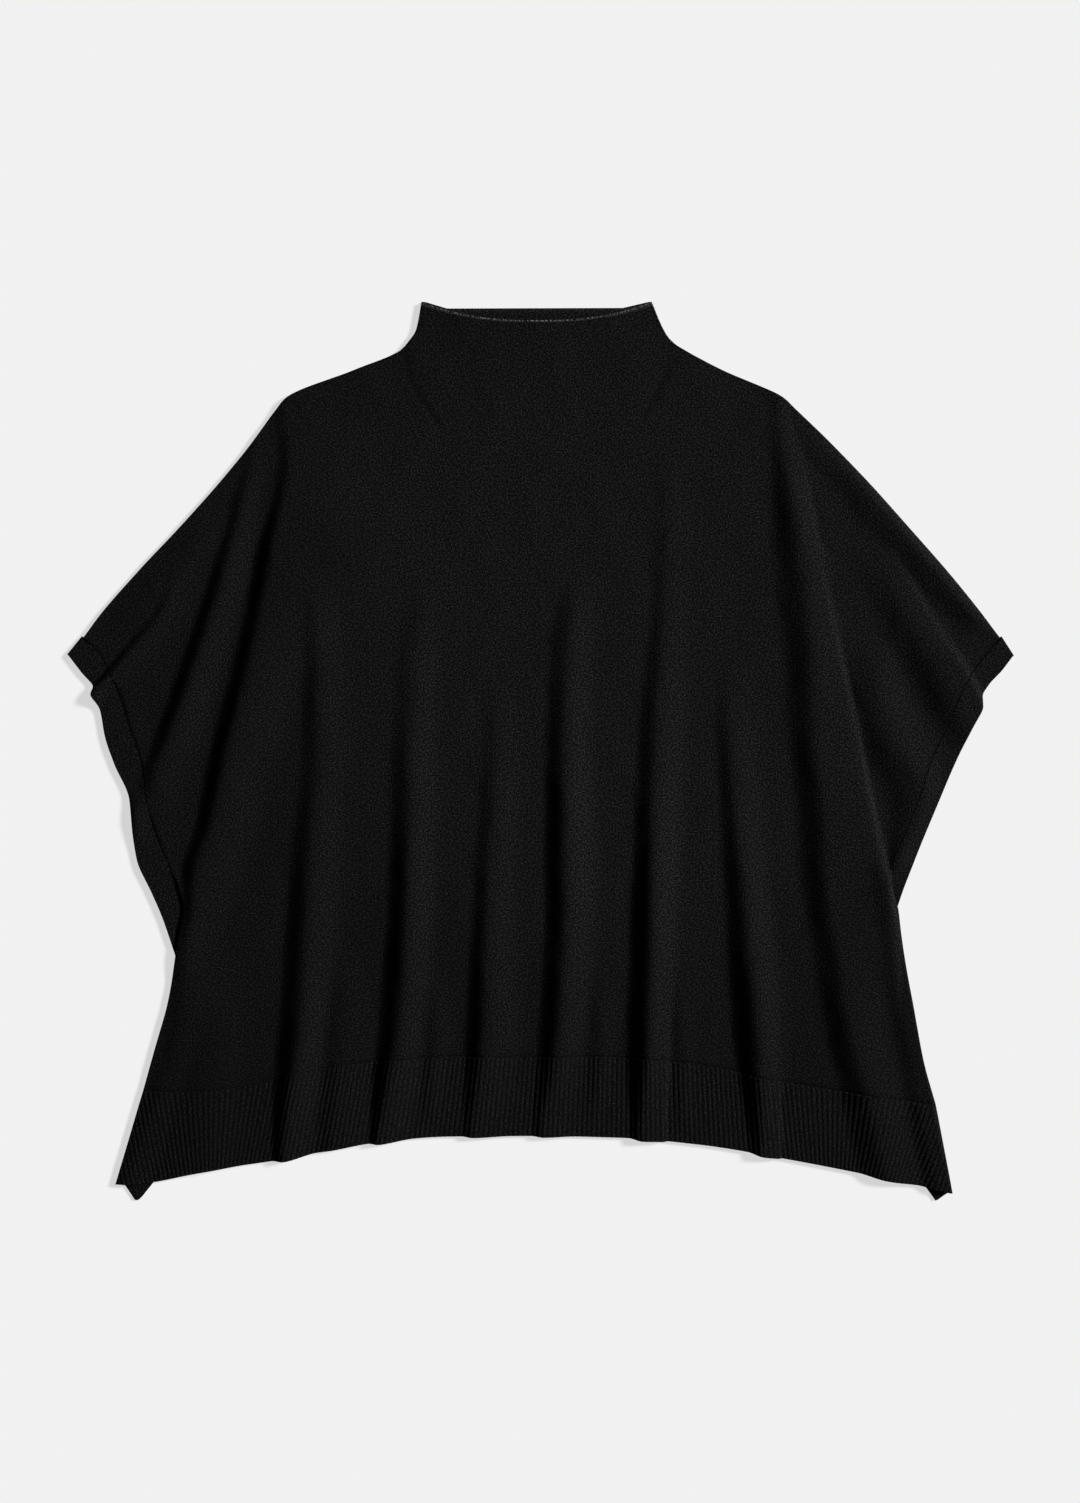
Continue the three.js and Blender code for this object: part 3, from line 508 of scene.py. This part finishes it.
def shell(top, bottom, inset, edge_painted_marks, knit, same=None, painted_marks=None):
    """A closed shell from two grids of points, sewn along its border by a rounded edge.

    The grids run from the neck to the hem and from left to right. Along the border inset is the
    width of the edge's rounding, and the edge's painted highlight (painted shade below zero) comes
    after it; the last argument is the top's painted highlight and shade. Points with the same
    number in same are one point.
    """
    rows, columns = top.shape[:2]
    count = rows * columns
    ids = np.arange(count).reshape(rows, columns) if same is None else same
    border = np.concatenate([ids[0, :], ids[1:, -1], ids[-1, -2::-1], ids[-2:0:-1, 0]])
    loop = np.array(list(dict.fromkeys(border.tolist())))
    inset = smooth_round(inset.ravel()[loop])
    edge_painted_marks = edge_painted_marks.ravel()[loop]
    top = top.reshape(-1, 3).copy()
    bottom = bottom.reshape(-1, 3).copy()
    flat = top[loop, :2]
    tangent = np.roll(flat, -1, axis=0) - np.roll(flat, 1, axis=0)
    outward = np.column_stack([-tangent[:, 1], tangent[:, 0]])
    outward /= np.linalg.norm(outward, axis=1)[:, None]
    core = flat - inset[:, None] * outward
    high, low = top[loop, 2].copy(), bottom[loop, 2].copy()
    top[loop, :2] = core
    bottom[loop, :2] = core
    middle, half = (high + low) / 2, (high - low) / 2
    rings = []
    for angle in EDGE_ANGLES:
        swing = math.radians(angle)
        plan = core + (inset * math.cos(swing))[:, None] * outward
        rings.append(np.column_stack([plan, middle + half * math.sin(swing)]))
    points = np.vstack([top, bottom, *rings])
    faces = []
    a, b, c, d = ids[:-1, :-1], ids[:-1, 1:], ids[1:, 1:], ids[1:, :-1]
    for corners in np.stack([a, d, c, b], axis=-1).reshape(-1, 4).tolist():
        ring = [n for k, n in enumerate(corners) if n != corners[k - 1]]
        if len(ring) > 2:
            faces.append(ring)
            faces.append([n + count for n in reversed(ring)])
    size = len(loop)
    levels = [loop] + [2 * count + k * size + np.arange(size) for k in range(len(rings))] + [loop + count]
    for upper, lower in zip(levels, levels[1:]):
        ahead_upper, ahead_lower = np.roll(upper, -1), np.roll(lower, -1)
        faces += np.column_stack([upper, ahead_upper, ahead_lower, lower]).tolist()
    knit = knit.reshape(-1, 2)
    knit_all = np.vstack([knit, knit] + [knit[loop]] * len(rings))
    # The top's painted highlight and shade, with a share of the edge's painted light beside the border
    top_painted_marks = np.zeros(count) if painted_marks is None else painted_marks.ravel().copy()
    top_painted_marks[loop] += EDGE_PAINT_ON_TOP * edge_painted_marks
    painted_marks_all = np.concatenate([top_painted_marks, np.zeros(count)] + [edge_painted_marks] * len(rings))
    return points, faces, knit_all, painted_marks_all


def border_values(rows, columns, neck, right, hem, left):
    """A grid with a value along each of its four borders."""
    values = np.zeros((rows, columns))
    values[:, 0], values[:, -1] = left, right
    values[0], values[-1] = neck, hem
    return values


def painted_bend_highlight(x, z):
    """Painted highlight where the cloth bends sharply over a ridge."""
    slope = np.diff(z, axis=1) / np.maximum(np.diff(x, axis=1), LEAST_STEP)
    bend = np.zeros(x.shape)
    bend[:, 1:-1] = np.diff(slope, axis=1) / np.maximum((x[:, 2:] - x[:, :-2]) / 2, LEAST_STEP)
    return BEND_HIGHLIGHT * np.clip((-bend - BEND_START) / BEND_FULL, 0, 1)


def smooth_round(values):
    """Evens out steps in values that run round a closed border."""
    for _ in range(EVENING_PASSES):
        values = (np.roll(values, 1) + values + np.roll(values, -1)) / 3
    return values


def levels_between(stops, rows):
    """Levels from the first stop to the last, with one on each stop."""
    total = abs(stops[-1] - stops[0])
    parts = []
    for start, end in zip(stops, stops[1:]):
        steps = max(1, round(rows * abs(end - start) / total))
        parts.append(np.linspace(start, end, steps, endpoint=False))
    return np.concatenate([*parts, [stops[-1]]])


def panel_plan(level, share, neck_edge, seam_shift):
    """Level of the cloth where a panel's row bends: to the neck's edge and to the hem's seam."""
    neck = np.clip((level - NECK_BASE) / (NECK_TOP - NECK_BASE), 0, 1)
    seam = rounded(HEM, "across", share, "seam") + seam_shift
    bend = np.clip((HEM_BLEND_START - level) / (HEM_BLEND_START - HEM_ROW), 0, 1)
    return level + (neck_edge - NECK_TOP) * neck + (seam - HEM_ROW) * bend


def crowded_shares(levels):
    """Places of the front's columns in each row, closer together where a fold climbs."""
    level, share = np.meshgrid(levels, np.linspace(0, 1, CROWD_SAMPLES), indexing="ij")
    left, right = side_of("left", level), side_of("right", level)
    x = left + share * (right - left)
    y = panel_plan(level, share, NECK_TOP, 0)
    density = np.ones(x.shape)
    for fold in FOLDS:
        at = {name: rounded(fold, "y", y, name) for name in FOLD_COLUMNS.split()[1:]}
        steep = (at["foot"] + at["crest"]) / 2
        weight = CROWD * ease(at["rise"] / CROWD_FULL_RISE)
        density += weight * np.exp(-(((x - steep) / CROWD_REACH) ** 2))
        rolling = (x - at["tail"] + ROLL_INWARD) / (CROWD_REACH / 2)
        density += weight * at["roll"] * np.exp(-(rolling**2))
    run = np.cumsum((density[:, 1:] + density[:, :-1]) / 2, axis=1)
    run = np.column_stack([np.zeros(len(levels)), run / run[:, -1:]])
    even = np.linspace(0, 1, FRONT_COLUMNS + 1)
    return np.array([np.interp(even, row, share[0]) for row in run])


def front_panel():
    """The front with its half of the funnel, raised in folds over the back."""
    levels = np.concatenate([
        np.linspace(start, end, rows, endpoint=False) for start, end, rows in FRONT_BANDS_OF_ROWS
    ] + [[HEM_ROW]])
    share = crowded_shares(levels)
    level = np.repeat(levels[:, None], share.shape[1], axis=1)
    x = side_of("left", level) + share * (side_of("right", level) - side_of("left", level))
    dip = NECK_DIP * (1 - np.abs(2 * share - 1) ** NECK_DIP_POWER)
    y = panel_plan(level, share, NECK_TOP - dip, SEAM_GAP / 2)
    lift = lift_of(x, y)
    lines = fashioning(x, y)
    detail = unevenness(x, y) - FASHIONING_DEPTH * lines
    top = np.stack([x, y, FRONT_TOP + lift + detail], axis=-1)
    bottom = np.stack([x, y, FRONT_BASE + lift], axis=-1)
    inset = border_values(*x.shape, neck=1.2, right=1, hem=SEAM_INSET, left=1)
    # Painted highlights on the neck's rim and the side edges, and a little painted shade at the hem's
    # seam
    edge_painted_marks = border_values(*x.shape, neck=1.6, right=0.2, hem=-0.03, left=0.2)
    for side, column in (("left", 0), ("right", -1)):
        sewn = (levels < SLEEVE_TIP) & (levels > CUFFS[side]["seam_y"][-1 - CUFF_TUCKED])
        inset[sewn, column] = SEAM_INSET
        # Painted shade along a band's seam and a painted highlight on the funnel's sides
        edge_painted_marks[sewn, column] = -SEAM_SHADE[side]
        edge_painted_marks[levels > FUNNEL_HIGHLIGHT_FROM, column] = FUNNEL_HIGHLIGHT
    # Painted highlight on sharp bends, less painted shade along the fashioning lines
    painted_marks = painted_bend_highlight(x, lift) - LINE_SHADE * lines
    return shell(top, bottom, inset, edge_painted_marks, np.stack([x, y], axis=-1), painted_marks=painted_marks)


def back_side(side):
    """Edge of the back, cut away where an armhole band turns under."""
    cuff = CUFFS[side]
    outward = -1 if side == "left" else 1
    clear = WALL + 2 * GAP
    beside_band = BAND_STAGGER + GAP
    last_sewn = cuff["seam_y"][-1 - CUFF_TUCKED]
    cut_top = cuff["seam_y"][-1] - clear
    cut_corner = cuff["edge_y"][-1] - clear - CUT_STEP
    rows = []
    for y in levels_between((NECK_TOP, SLEEVE_TIP, last_sewn), BACK_SIDE_ROWS):
        under = beside_band if y < SLEEVE_TIP else EDGE_INSET
        rows.append((y, side_of(side, y) - outward * under))
    for y, x in zip(OUTLINE["y"], OUTLINE[side]):
        if y < cut_corner - CUT_STEP:
            rows.append((y, x - outward * EDGE_INSET))
    for y, x in zip(cuff["seam_y"][-CUFF_TUCKED:], cuff["seam_x"][-CUFF_TUCKED:]):
        rows.append((y, x - outward * beside_band))
    rows.append((cut_top, cuff["seam_x"][-1] - outward * beside_band))
    rows.append((cut_corner, cuff["edge_x"][-1]))
    return table("y x", *rows)


def back_panel():
    """The back with its half of the funnel, flat on the surface."""
    sides = {side: back_side(side) for side in CUFFS}
    stops = (NECK_TOP, NECK_BASE, SLEEVE_TIP, UNDERARM, HEM_ROW)
    levels = levels_between(stops, BACK_ROWS)
    level, share = np.meshgrid(levels, np.linspace(0, 1, BACK_COLUMNS + 1), indexing="ij")
    left = straight(sides["left"], "y", level, "x")
    right = straight(sides["right"], "y", level, "x")
    x = left + share * (right - left)
    neck_edge = straight(BACK_NECK_EDGE, "x", x, "y")
    y = panel_plan(level, share, neck_edge, SEAM_GAP / 2 + HEM_STAGGER)
    top = np.stack([x, y, np.full(x.shape, WALL)], axis=-1)
    bottom = np.stack([x, y, np.zeros(x.shape)], axis=-1)
    inset = border_values(*x.shape, neck=0.9, right=0.9, hem=SEAM_INSET, left=0.9)
    # A painted highlight on the neck's edge
    edge_painted_marks = border_values(*x.shape, neck=0.3, right=0, hem=0, left=0)
    return shell(top, bottom, inset, edge_painted_marks, np.stack([x, y], axis=-1))


def hem_side(side, down):
    """Where a hem's side edge runs, from its seam down to its bottom."""
    top = OUTLINE[side][0]
    return top + down * (HEM_BOTTOM[side] - top)


def hem_grid(steps_across, steps_down, seam_shift, edge_of):
    """A hem's points along its ribs. Towards the corners the ribs lean in as they go down,
    and the sides cut them off."""
    ribs = HEM_RIBS + 2 * SPARE_RIBS
    across = (np.linspace(0, ribs, ribs * steps_across + 1) - SPARE_RIBS) / HEM_RIBS
    down, across = np.meshgrid(np.linspace(0, 1, steps_down + 1), across, indexing="ij")
    left, right = hem_side("left", down), hem_side("right", down)
    x = left + across * (right - left)
    lean_left = ease((RIB_LEAN_START - across) / RIB_LEAN_START)
    lean_right = ease((across - 1 + RIB_LEAN_START) / RIB_LEAN_START)
    x = x + RIB_LEAN * (down - 0.5) * (lean_left - lean_right)
    rib = across * HEM_RIBS
    beyond_left, beyond_right = x < left, x > right
    x = np.clip(x, left, right)
    share = (x - left) / (right - left)
    seam = rounded(HEM, "across", share, "seam") + seam_shift
    y = seam + down * (edge_of(share, x) - seam)
    rows, columns = x.shape
    ids = np.arange(rows * columns).reshape(rows, columns)
    first = ids[:, :1] + np.argmax(~beyond_left, axis=1)[:, None] - 1
    last = ids[:, :1] + columns - np.argmax(~beyond_right[:, ::-1], axis=1)[:, None]
    ids = np.clip(ids, np.maximum(first, ids[:, :1]), np.minimum(last, ids[:, -1:]))
    return x, y, down, rib, share, ids


def rib_rise(rib):
    """Round ribs with narrow grooves between them."""
    return RIB_RISE * np.abs(np.cos(np.pi * rib)) ** RIB_ROUNDNESS


def front_hem_rib():
    """The front's rib hem, which goes on with the folds of the panel."""
    def edge_of(share, x):
        edge = rounded(HEM, "across", share, "edge")
        return edge - HEM_WAVE * fold_lift(x, edge)

    x, y, down, rib, share, ids = hem_grid(RIB_STEPS, HEM_STEPS, -SEAM_GAP / 2, edge_of)
    lift = lift_of(x, y)
    relief = rib_rise(rib)
    rise = relief * ease(np.minimum(share, 1 - share) / RIB_FADE)
    top = np.stack([x, y, FRONT_TOP + lift + rise], axis=-1)
    bottom = np.stack([x, y, FRONT_BASE + lift], axis=-1)
    knit = np.stack([rib * RIB_PITCH, y], axis=-1)
    inset = border_values(*x.shape, neck=SEAM_INSET, right=0.8, hem=1.1, left=0.8)
    # Painted shade at the seam and painted highlights on the other edges
    edge_painted_marks = border_values(*x.shape, neck=-0.05, right=0.25, hem=0.1, left=0.1)
    # Painted highlight on bends, the whole hem a little brighter, painted shade in the rib grooves
    painted_marks = painted_bend_highlight(x, lift) + RIB_BRIGHTER - RIB_SHADE * (1 - relief / RIB_RISE)
    return shell(top, bottom, inset, edge_painted_marks, knit, ids, painted_marks)


def back_hem_edge():
    """Lower edge of the back's hem: a little above the front's, apart from the corners."""
    left, right = HEM_BOTTOM["left"], HEM_BOTTOM["right"]
    rows = [(left + EDGE_INSET, HEM["edge"][0] + EDGE_INSET)]
    rows += list(BACK_HEM_TIPS)
    for across, edge in zip(HEM["across"], HEM["edge"]):
        x = left + across * (right - left)
        if BACK_HEM_PLAIN[0] < x < BACK_HEM_PLAIN[1]:
            rows.append((x, edge + BACK_HEM_SHORTER))
    rows.append((right - EDGE_INSET, HEM["edge"][-1] + EDGE_INSET))
    return table("x y", *rows)


def back_hem_rib():
    """The back's rib hem, flat on the surface."""
    edge_line = back_hem_edge()

    def edge_of(share, x):
        return straight(edge_line, "x", x, "y")

    seam_shift = HEM_STAGGER - SEAM_GAP / 2
    x, y, down, rib, share, ids = hem_grid(BACK_RIB_STEPS, BACK_HEM_STEPS, seam_shift, edge_of)
    middle = (hem_side("left", down) + hem_side("right", down)) / 2
    half = (hem_side("right", down) - hem_side("left", down)) / 2
    x = middle + (x - middle) * (half - EDGE_INSET) / half
    top = np.stack([x, y, np.full(x.shape, WALL)], axis=-1)
    bottom = np.stack([x, y, np.zeros(x.shape)], axis=-1)
    knit = np.stack([rib * RIB_PITCH, y], axis=-1)
    inset = border_values(*x.shape, neck=SEAM_INSET, right=0.8, hem=0.8, left=0.8)
    return shell(top, bottom, inset, np.zeros(x.shape), knit, ids)


def tucked_gap(i, last):
    """Extra room at the seam side of a band's tucked end."""
    return CUFF_SEAM_GAP * float(ease(i - (last - CUFF_TUCKED)))


def band_section(side, i, last):
    """Seam and edge of an armhole band at one place of its table."""
    cuff = CUFFS[side]
    seam_y = rounded(cuff, "i", i, "seam_y")
    sewn = side_of(side, seam_y)
    free = rounded(cuff, "i", i, "seam_x")
    tucked = ease(i - (last - CUFF_TUCKED))
    seam = np.array([sewn + tucked * (free - sewn), seam_y])
    edge = np.array([rounded(cuff, "i", i, "edge_x"), rounded(cuff, "i", i, "edge_y")])
    return seam, edge


def band_ring(start, width):
    """The wall round a band's section: runs from the seam to the edge, and depths outward."""
    run = np.linspace(start + SEAM_INSET, width - BAND_EDGE, BAND_ACROSS)
    wale = np.abs(np.cos(np.pi * BAND_WALES * run / width)) ** RIB_ROUNDNESS
    rounding = np.radians(BAND_EDGE_ANGLES)
    edge_run = width - BAND_EDGE + BAND_EDGE * np.cos(rounding)
    inner_run = np.linspace(width - BAND_EDGE, start + SEAM_INSET, BAND_INSIDE)
    runs = np.concatenate([run, edge_run, inner_run, [start, start]])
    outer = WALL - BAND_GROOVE * (1 - wale)
    edge = WALL / 2 + WALL / 2 * np.sin(rounding)
    seam = [SEAM_INSET, WALL - SEAM_INSET]
    depths = GAP / 2 + np.concatenate([outer, edge, np.zeros(BAND_INSIDE), seam])
    return runs, depths


def band_turns(stations, last):
    """Places round the loop: the front half, the lower fold, the back half and the tip's fold."""
    turns = [(i, 0.0) for i in stations]
    turns += [(last, angle) for angle in FOLD_ANGLES]
    turns += [(i, 180.0) for i in stations[::-1]]
    turns += [(0, angle) for angle in reversed(FOLD_ANGLES)]
    return turns


def armhole_band(side):
    """A flattened loop: front half, fold at the lower end, back half, fold at the tip."""
    cuff = CUFFS[side]
    last = len(cuff["i"]) - 1
    length = np.sum(np.hypot(np.diff(cuff["seam_x"]), np.diff(cuff["seam_y"])))
    stations = np.linspace(0, last, int(length / BAND_STEP))
    middle = FRONT_BASE - GAP / 2
    rings, knit, painted_marks = [], [], []
    travelled, before = 0.0, None
    for i, angle in band_turns(stations, last):
        seam, edge = band_section(side, i, last)
        width = np.linalg.norm(edge - seam)
        along = (edge - seam) / width
        square = np.array([-along[1], along[0]])
        points_up = square[1] > 0
        turn = square if points_up == (i <= last / 2) else -square
        fade = np.interp(i, [0, 1, last - CUFF_TUCKED, last - 1], [0, 1, 1, 0]) * (angle == 0)
        swing = math.radians(angle)
        back_share = (1 - math.cos(swing)) / 2
        start = SEAM_GAP - back_share * BAND_STAGGER + tucked_gap(i, last)
        runs, depths = band_ring(start, width)
        plan = seam + np.outer(runs, along) + np.outer(depths * math.sin(swing), turn)
        height = middle + depths * math.cos(swing) + fold_lift(plan[:, 0], plan[:, 1]) * fade
        rings.append(np.column_stack([plan, height]))
        centre = (seam + edge) / 2
        travelled += 0 if before is None else float(np.linalg.norm(centre - before))
        before = centre
        wales = runs / width * BAND_WALES * BAND_WALE
        knit.append(np.column_stack([wales, np.full(len(runs), travelled)]))
        # A painted highlight on the free edge and painted shade at the seam
        edge_painted_marks = np.zeros(len(runs))
        edge_painted_marks[BAND_ACROSS:BAND_ACROSS + len(BAND_EDGE_ANGLES)] = BAND_EDGE_HIGHLIGHT
        edge_painted_marks[0] = edge_painted_marks[-2:] = -SEAM_SHADE[side]
        painted_marks.append(edge_painted_marks)
    ring_of, along_of = np.meshgrid(np.arange(len(rings)), np.arange(len(rings[0])), indexing="ij")
    after, beside = (ring_of + 1) % len(rings), (along_of + 1) % len(rings[0])
    here, there = ring_of * len(rings[0]), after * len(rings[0])
    corners = [here + along_of, here + beside, there + beside, there + along_of]
    faces = np.stack(corners, axis=-1).reshape(-1, 4).tolist()
    return np.vstack(rings), faces, np.vstack(knit), np.concatenate(painted_marks)


def node_maker(tree):
    """Two functions that add a node to a tree: any node, and a sum or other calculation."""
    def make(kind, **values):
        node = tree.nodes.new(kind)
        for name, value in values.items():
            setattr(node, name, value)
        return node

    def math_node(operation, a, b=None):
        node = make("ShaderNodeMath", operation=operation)
        for socket, value in zip(node.inputs, (a, b)):
            if isinstance(value, bpy.types.NodeSocket):
                tree.links.new(value, socket)
            elif value is not None:
                socket.default_value = value
        return node.outputs[0]

    return make, math_node


# Wool: how uneven its yarn is, and the relief of its stitches and fuzz
BLACK_WOOL = (0.0052, 0.0051, 0.0051)
MOTTLE = 17.0
DRIFT = 0.4
DARKEST = 0.1
FUZZ_SCALE = 0.64  # for each millimetre
YARN_SCALE = 0.72  # for each millimetre
CLOUD_SCALE = 22.0  # for each metre
FUZZ_RELIEF = 1.4
STITCH_SLANT = 0.9
RIB_SLANT = 0.25
BUMP_DEPTH = 0.4 * MM


def knit_material(name, wale, course, relief, is_stitch):
    """Near-black wool: stitches and fuzz in relief, an uneven yarn, painted shade in the stitch grooves
    and the mesh's painted light and shade.
    """
    material = bpy.data.materials.new(name)
    material.use_nodes = True
    tree = material.node_tree
    tree.nodes.clear()
    make, calc = node_maker(tree)
    link = tree.links.new

    def noise(scale, where, dimensions):
        node = make("ShaderNodeTexNoise", noise_dimensions=dimensions)
        node.inputs["Scale"].default_value = scale
        node.inputs["Detail"].default_value = 2.0
        link(where, node.inputs["Vector"])
        return node

    knit = make("ShaderNodeAttribute", attribute_name="knit").outputs["Vector"]
    parts = make("ShaderNodeSeparateXYZ")
    link(knit, parts.inputs[0])
    # Half of a wale: 0 in the middle of the stitch, 1 between two wales
    wale_at = calc("DIVIDE", parts.outputs["X"], wale)
    half = calc("MULTIPLY", calc("ABSOLUTE", calc("SUBTRACT", calc("FRACT", wale_at), 0.5)), 2.0)
    leg = calc("SINE", calc("MULTIPLY", half, math.pi))
    slant = calc("MULTIPLY", half, STITCH_SLANT if is_stitch else RIB_SLANT)
    course_at = calc("ADD", calc("DIVIDE", parts.outputs["Y"], course), slant)
    stitch = calc("ABSOLUTE", calc("SINE", calc("MULTIPLY", course_at, math.pi)))
    loop = calc("ADD", calc("MULTIPLY", stitch, 0.55), 0.45)
    shape = calc("MULTIPLY", loop, leg if is_stitch else 1.0)
    where = make("ShaderNodeTexCoord").outputs["Object"]
    fuzz = noise(FUZZ_SCALE, knit, "2D")
    yarn = noise(YARN_SCALE, knit, "2D")
    yarn.inputs["Roughness"].default_value = 0.6
    cloud = noise(CLOUD_SCALE, where, "3D")
    raised = calc("MULTIPLY", fuzz.outputs["Fac"], FUZZ_RELIEF)
    height = calc("ADD", calc("MULTIPLY", shape, relief), raised)
    bump = make("ShaderNodeBump")
    bump.inputs["Strength"].default_value = 0.6
    bump.inputs["Distance"].default_value = BUMP_DEPTH
    link(height, bump.inputs["Height"])
    # Brightness of the yarn: painted shade in the stitch grooves, mottled, then times the mesh's painted
    # light and shade
    mottle = calc("MULTIPLY", calc("SUBTRACT", yarn.outputs["Fac"], 0.5), MOTTLE)
    drift = calc("MULTIPLY", calc("SUBTRACT", cloud.outputs["Fac"], 0.5), DRIFT)
    # Painted shade in the grooves between stitches
    depth = calc("ADD", calc("MULTIPLY", shape, 0.25), 0.85)
    uneven = calc("MAXIMUM", calc("ADD", calc("ADD", mottle, drift), 1.0), DARKEST)
    level = calc("MULTIPLY", uneven, depth)
    # The mesh's painted light and shade: painted dimming, painted highlights on edges and bends, painted
    # shade in seams and grooves
    painted_light = make("ShaderNodeAttribute", attribute_name="painted_light")
    level = calc("MULTIPLY", level, painted_light.outputs["Fac"])
    colour = make("ShaderNodeVectorMath", operation="SCALE")
    colour.inputs[0].default_value = BLACK_WOOL
    link(level, colour.inputs["Scale"])
    shader = make("ShaderNodeBsdfPrincipled")
    link(colour.outputs[0], shader.inputs["Base Color"])
    link(bump.outputs["Normal"], shader.inputs["Normal"])
    shader.inputs["Roughness"].default_value = 0.95
    shader.inputs["Specular IOR Level"].default_value = 0.08
    shader.inputs["Sheen Weight"].default_value = 0.008
    shader.inputs["Sheen Roughness"].default_value = 0.5
    shader.inputs["Sheen Tint"].default_value = (1.0, 1.0, 1.0, 1.0)
    output = make("ShaderNodeOutputMaterial")
    link(shader.outputs[0], output.inputs["Surface"])
    return material


jersey = knit_material("black_jersey", wale=2.1, course=1.6, relief=0.45, is_stitch=True)
rib = knit_material("black_rib", wale=RIB_PITCH, course=1.7, relief=0.5, is_stitch=False)
band = knit_material("black_band", wale=BAND_WALE, course=1.7, relief=0.4, is_stitch=False)

back = make_piece("back_panel", *back_panel(), jersey, "jersey_knit")
back_hem = make_piece("back_hem_rib", *back_hem_rib(), rib, "rib_knit")
front = make_piece("front_panel", *front_panel(), jersey, "jersey_knit")
front_hem = make_piece("front_hem_rib", *front_hem_rib(), rib, "rib_knit")
left_band = make_piece("left_armhole_band", *armhole_band("left"), band, "band_knit")
right_band = make_piece("right_armhole_band", *armhole_band("right"), band, "band_knit")

# Floor: pale paper that glows a little, as the photo's ground has almost no shade
FLOOR_SIZE = 12.0
FLOOR_TOP = -0.3 * MM
FLOOR_GLOW = 0.638
floor_mesh = bpy.data.meshes.new("floor")
reach = FLOOR_SIZE / 2
corners = [(-reach, -reach), (reach, -reach), (reach, reach), (-reach, reach)]
floor_mesh.from_pydata([(x, y, FLOOR_TOP) for x, y in corners], [], [(0, 1, 2, 3)])
floor = bpy.data.objects.new("floor", floor_mesh)
bpy.context.scene.collection.objects.link(floor)
paper = bpy.data.materials.new("pale_paper")
paper.use_nodes = True
paper_shader = paper.node_tree.nodes["Principled BSDF"]
paper_shader.inputs["Base Color"].default_value = (0.30, 0.30, 0.30, 1)
paper_shader.inputs["Roughness"].default_value = 1.0
paper_shader.inputs["Specular IOR Level"].default_value = 0.0
paper_shader.inputs["Emission Color"].default_value = (1, 1, 1, 1)
paper_shader.inputs["Emission Strength"].default_value = FLOOR_GLOW
floor_mesh.materials.append(paper)

# Light: a soft key from the right and a little from the top, with a weak even fill
KEY_ELEVATION = 30.0
KEY_TURN = 20.0
KEY_STRENGTH = 4.9
KEY_SOFTNESS = 11.0
FILL_STRENGTH = 0.03
key = bpy.data.lights.new("key", "SUN")
key.energy = KEY_STRENGTH
key.angle = math.radians(KEY_SOFTNESS)
key_light = bpy.data.objects.new("key", key)
key_light.rotation_euler = (0, math.radians(90 - KEY_ELEVATION), math.radians(KEY_TURN))
bpy.context.scene.collection.objects.link(key_light)
world = bpy.data.worlds.new("fill")
world.use_nodes = True
world.node_tree.nodes["Background"].inputs["Color"].default_value = (1, 1, 1, 1)
world.node_tree.nodes["Background"].inputs["Strength"].default_value = FILL_STRENGTH
bpy.context.scene.world = world
bpy.context.scene.view_settings.view_transform = "Standard"

# Camera: straight above, framed as the photograph, whose middle is half a pixel left of the origin
CAMERA_HEIGHT = 2.0
PHOTO_PIXEL = 0.9 * MM
PHOTO_LONG_SIDE = 1503
FRAME_LONG_SIDE = PHOTO_LONG_SIDE * PHOTO_PIXEL
camera = bpy.data.cameras.new("camera")
camera.sensor_width = 36.0
camera.lens = camera.sensor_width * CAMERA_HEIGHT / FRAME_LONG_SIDE
camera_object = bpy.data.objects.new("camera", camera)
camera_object.location = (-PHOTO_PIXEL / 2, 0, CAMERA_HEIGHT)
bpy.context.scene.collection.objects.link(camera_object)
bpy.context.scene.camera = camera_object

bpy.context.view_layer.update()
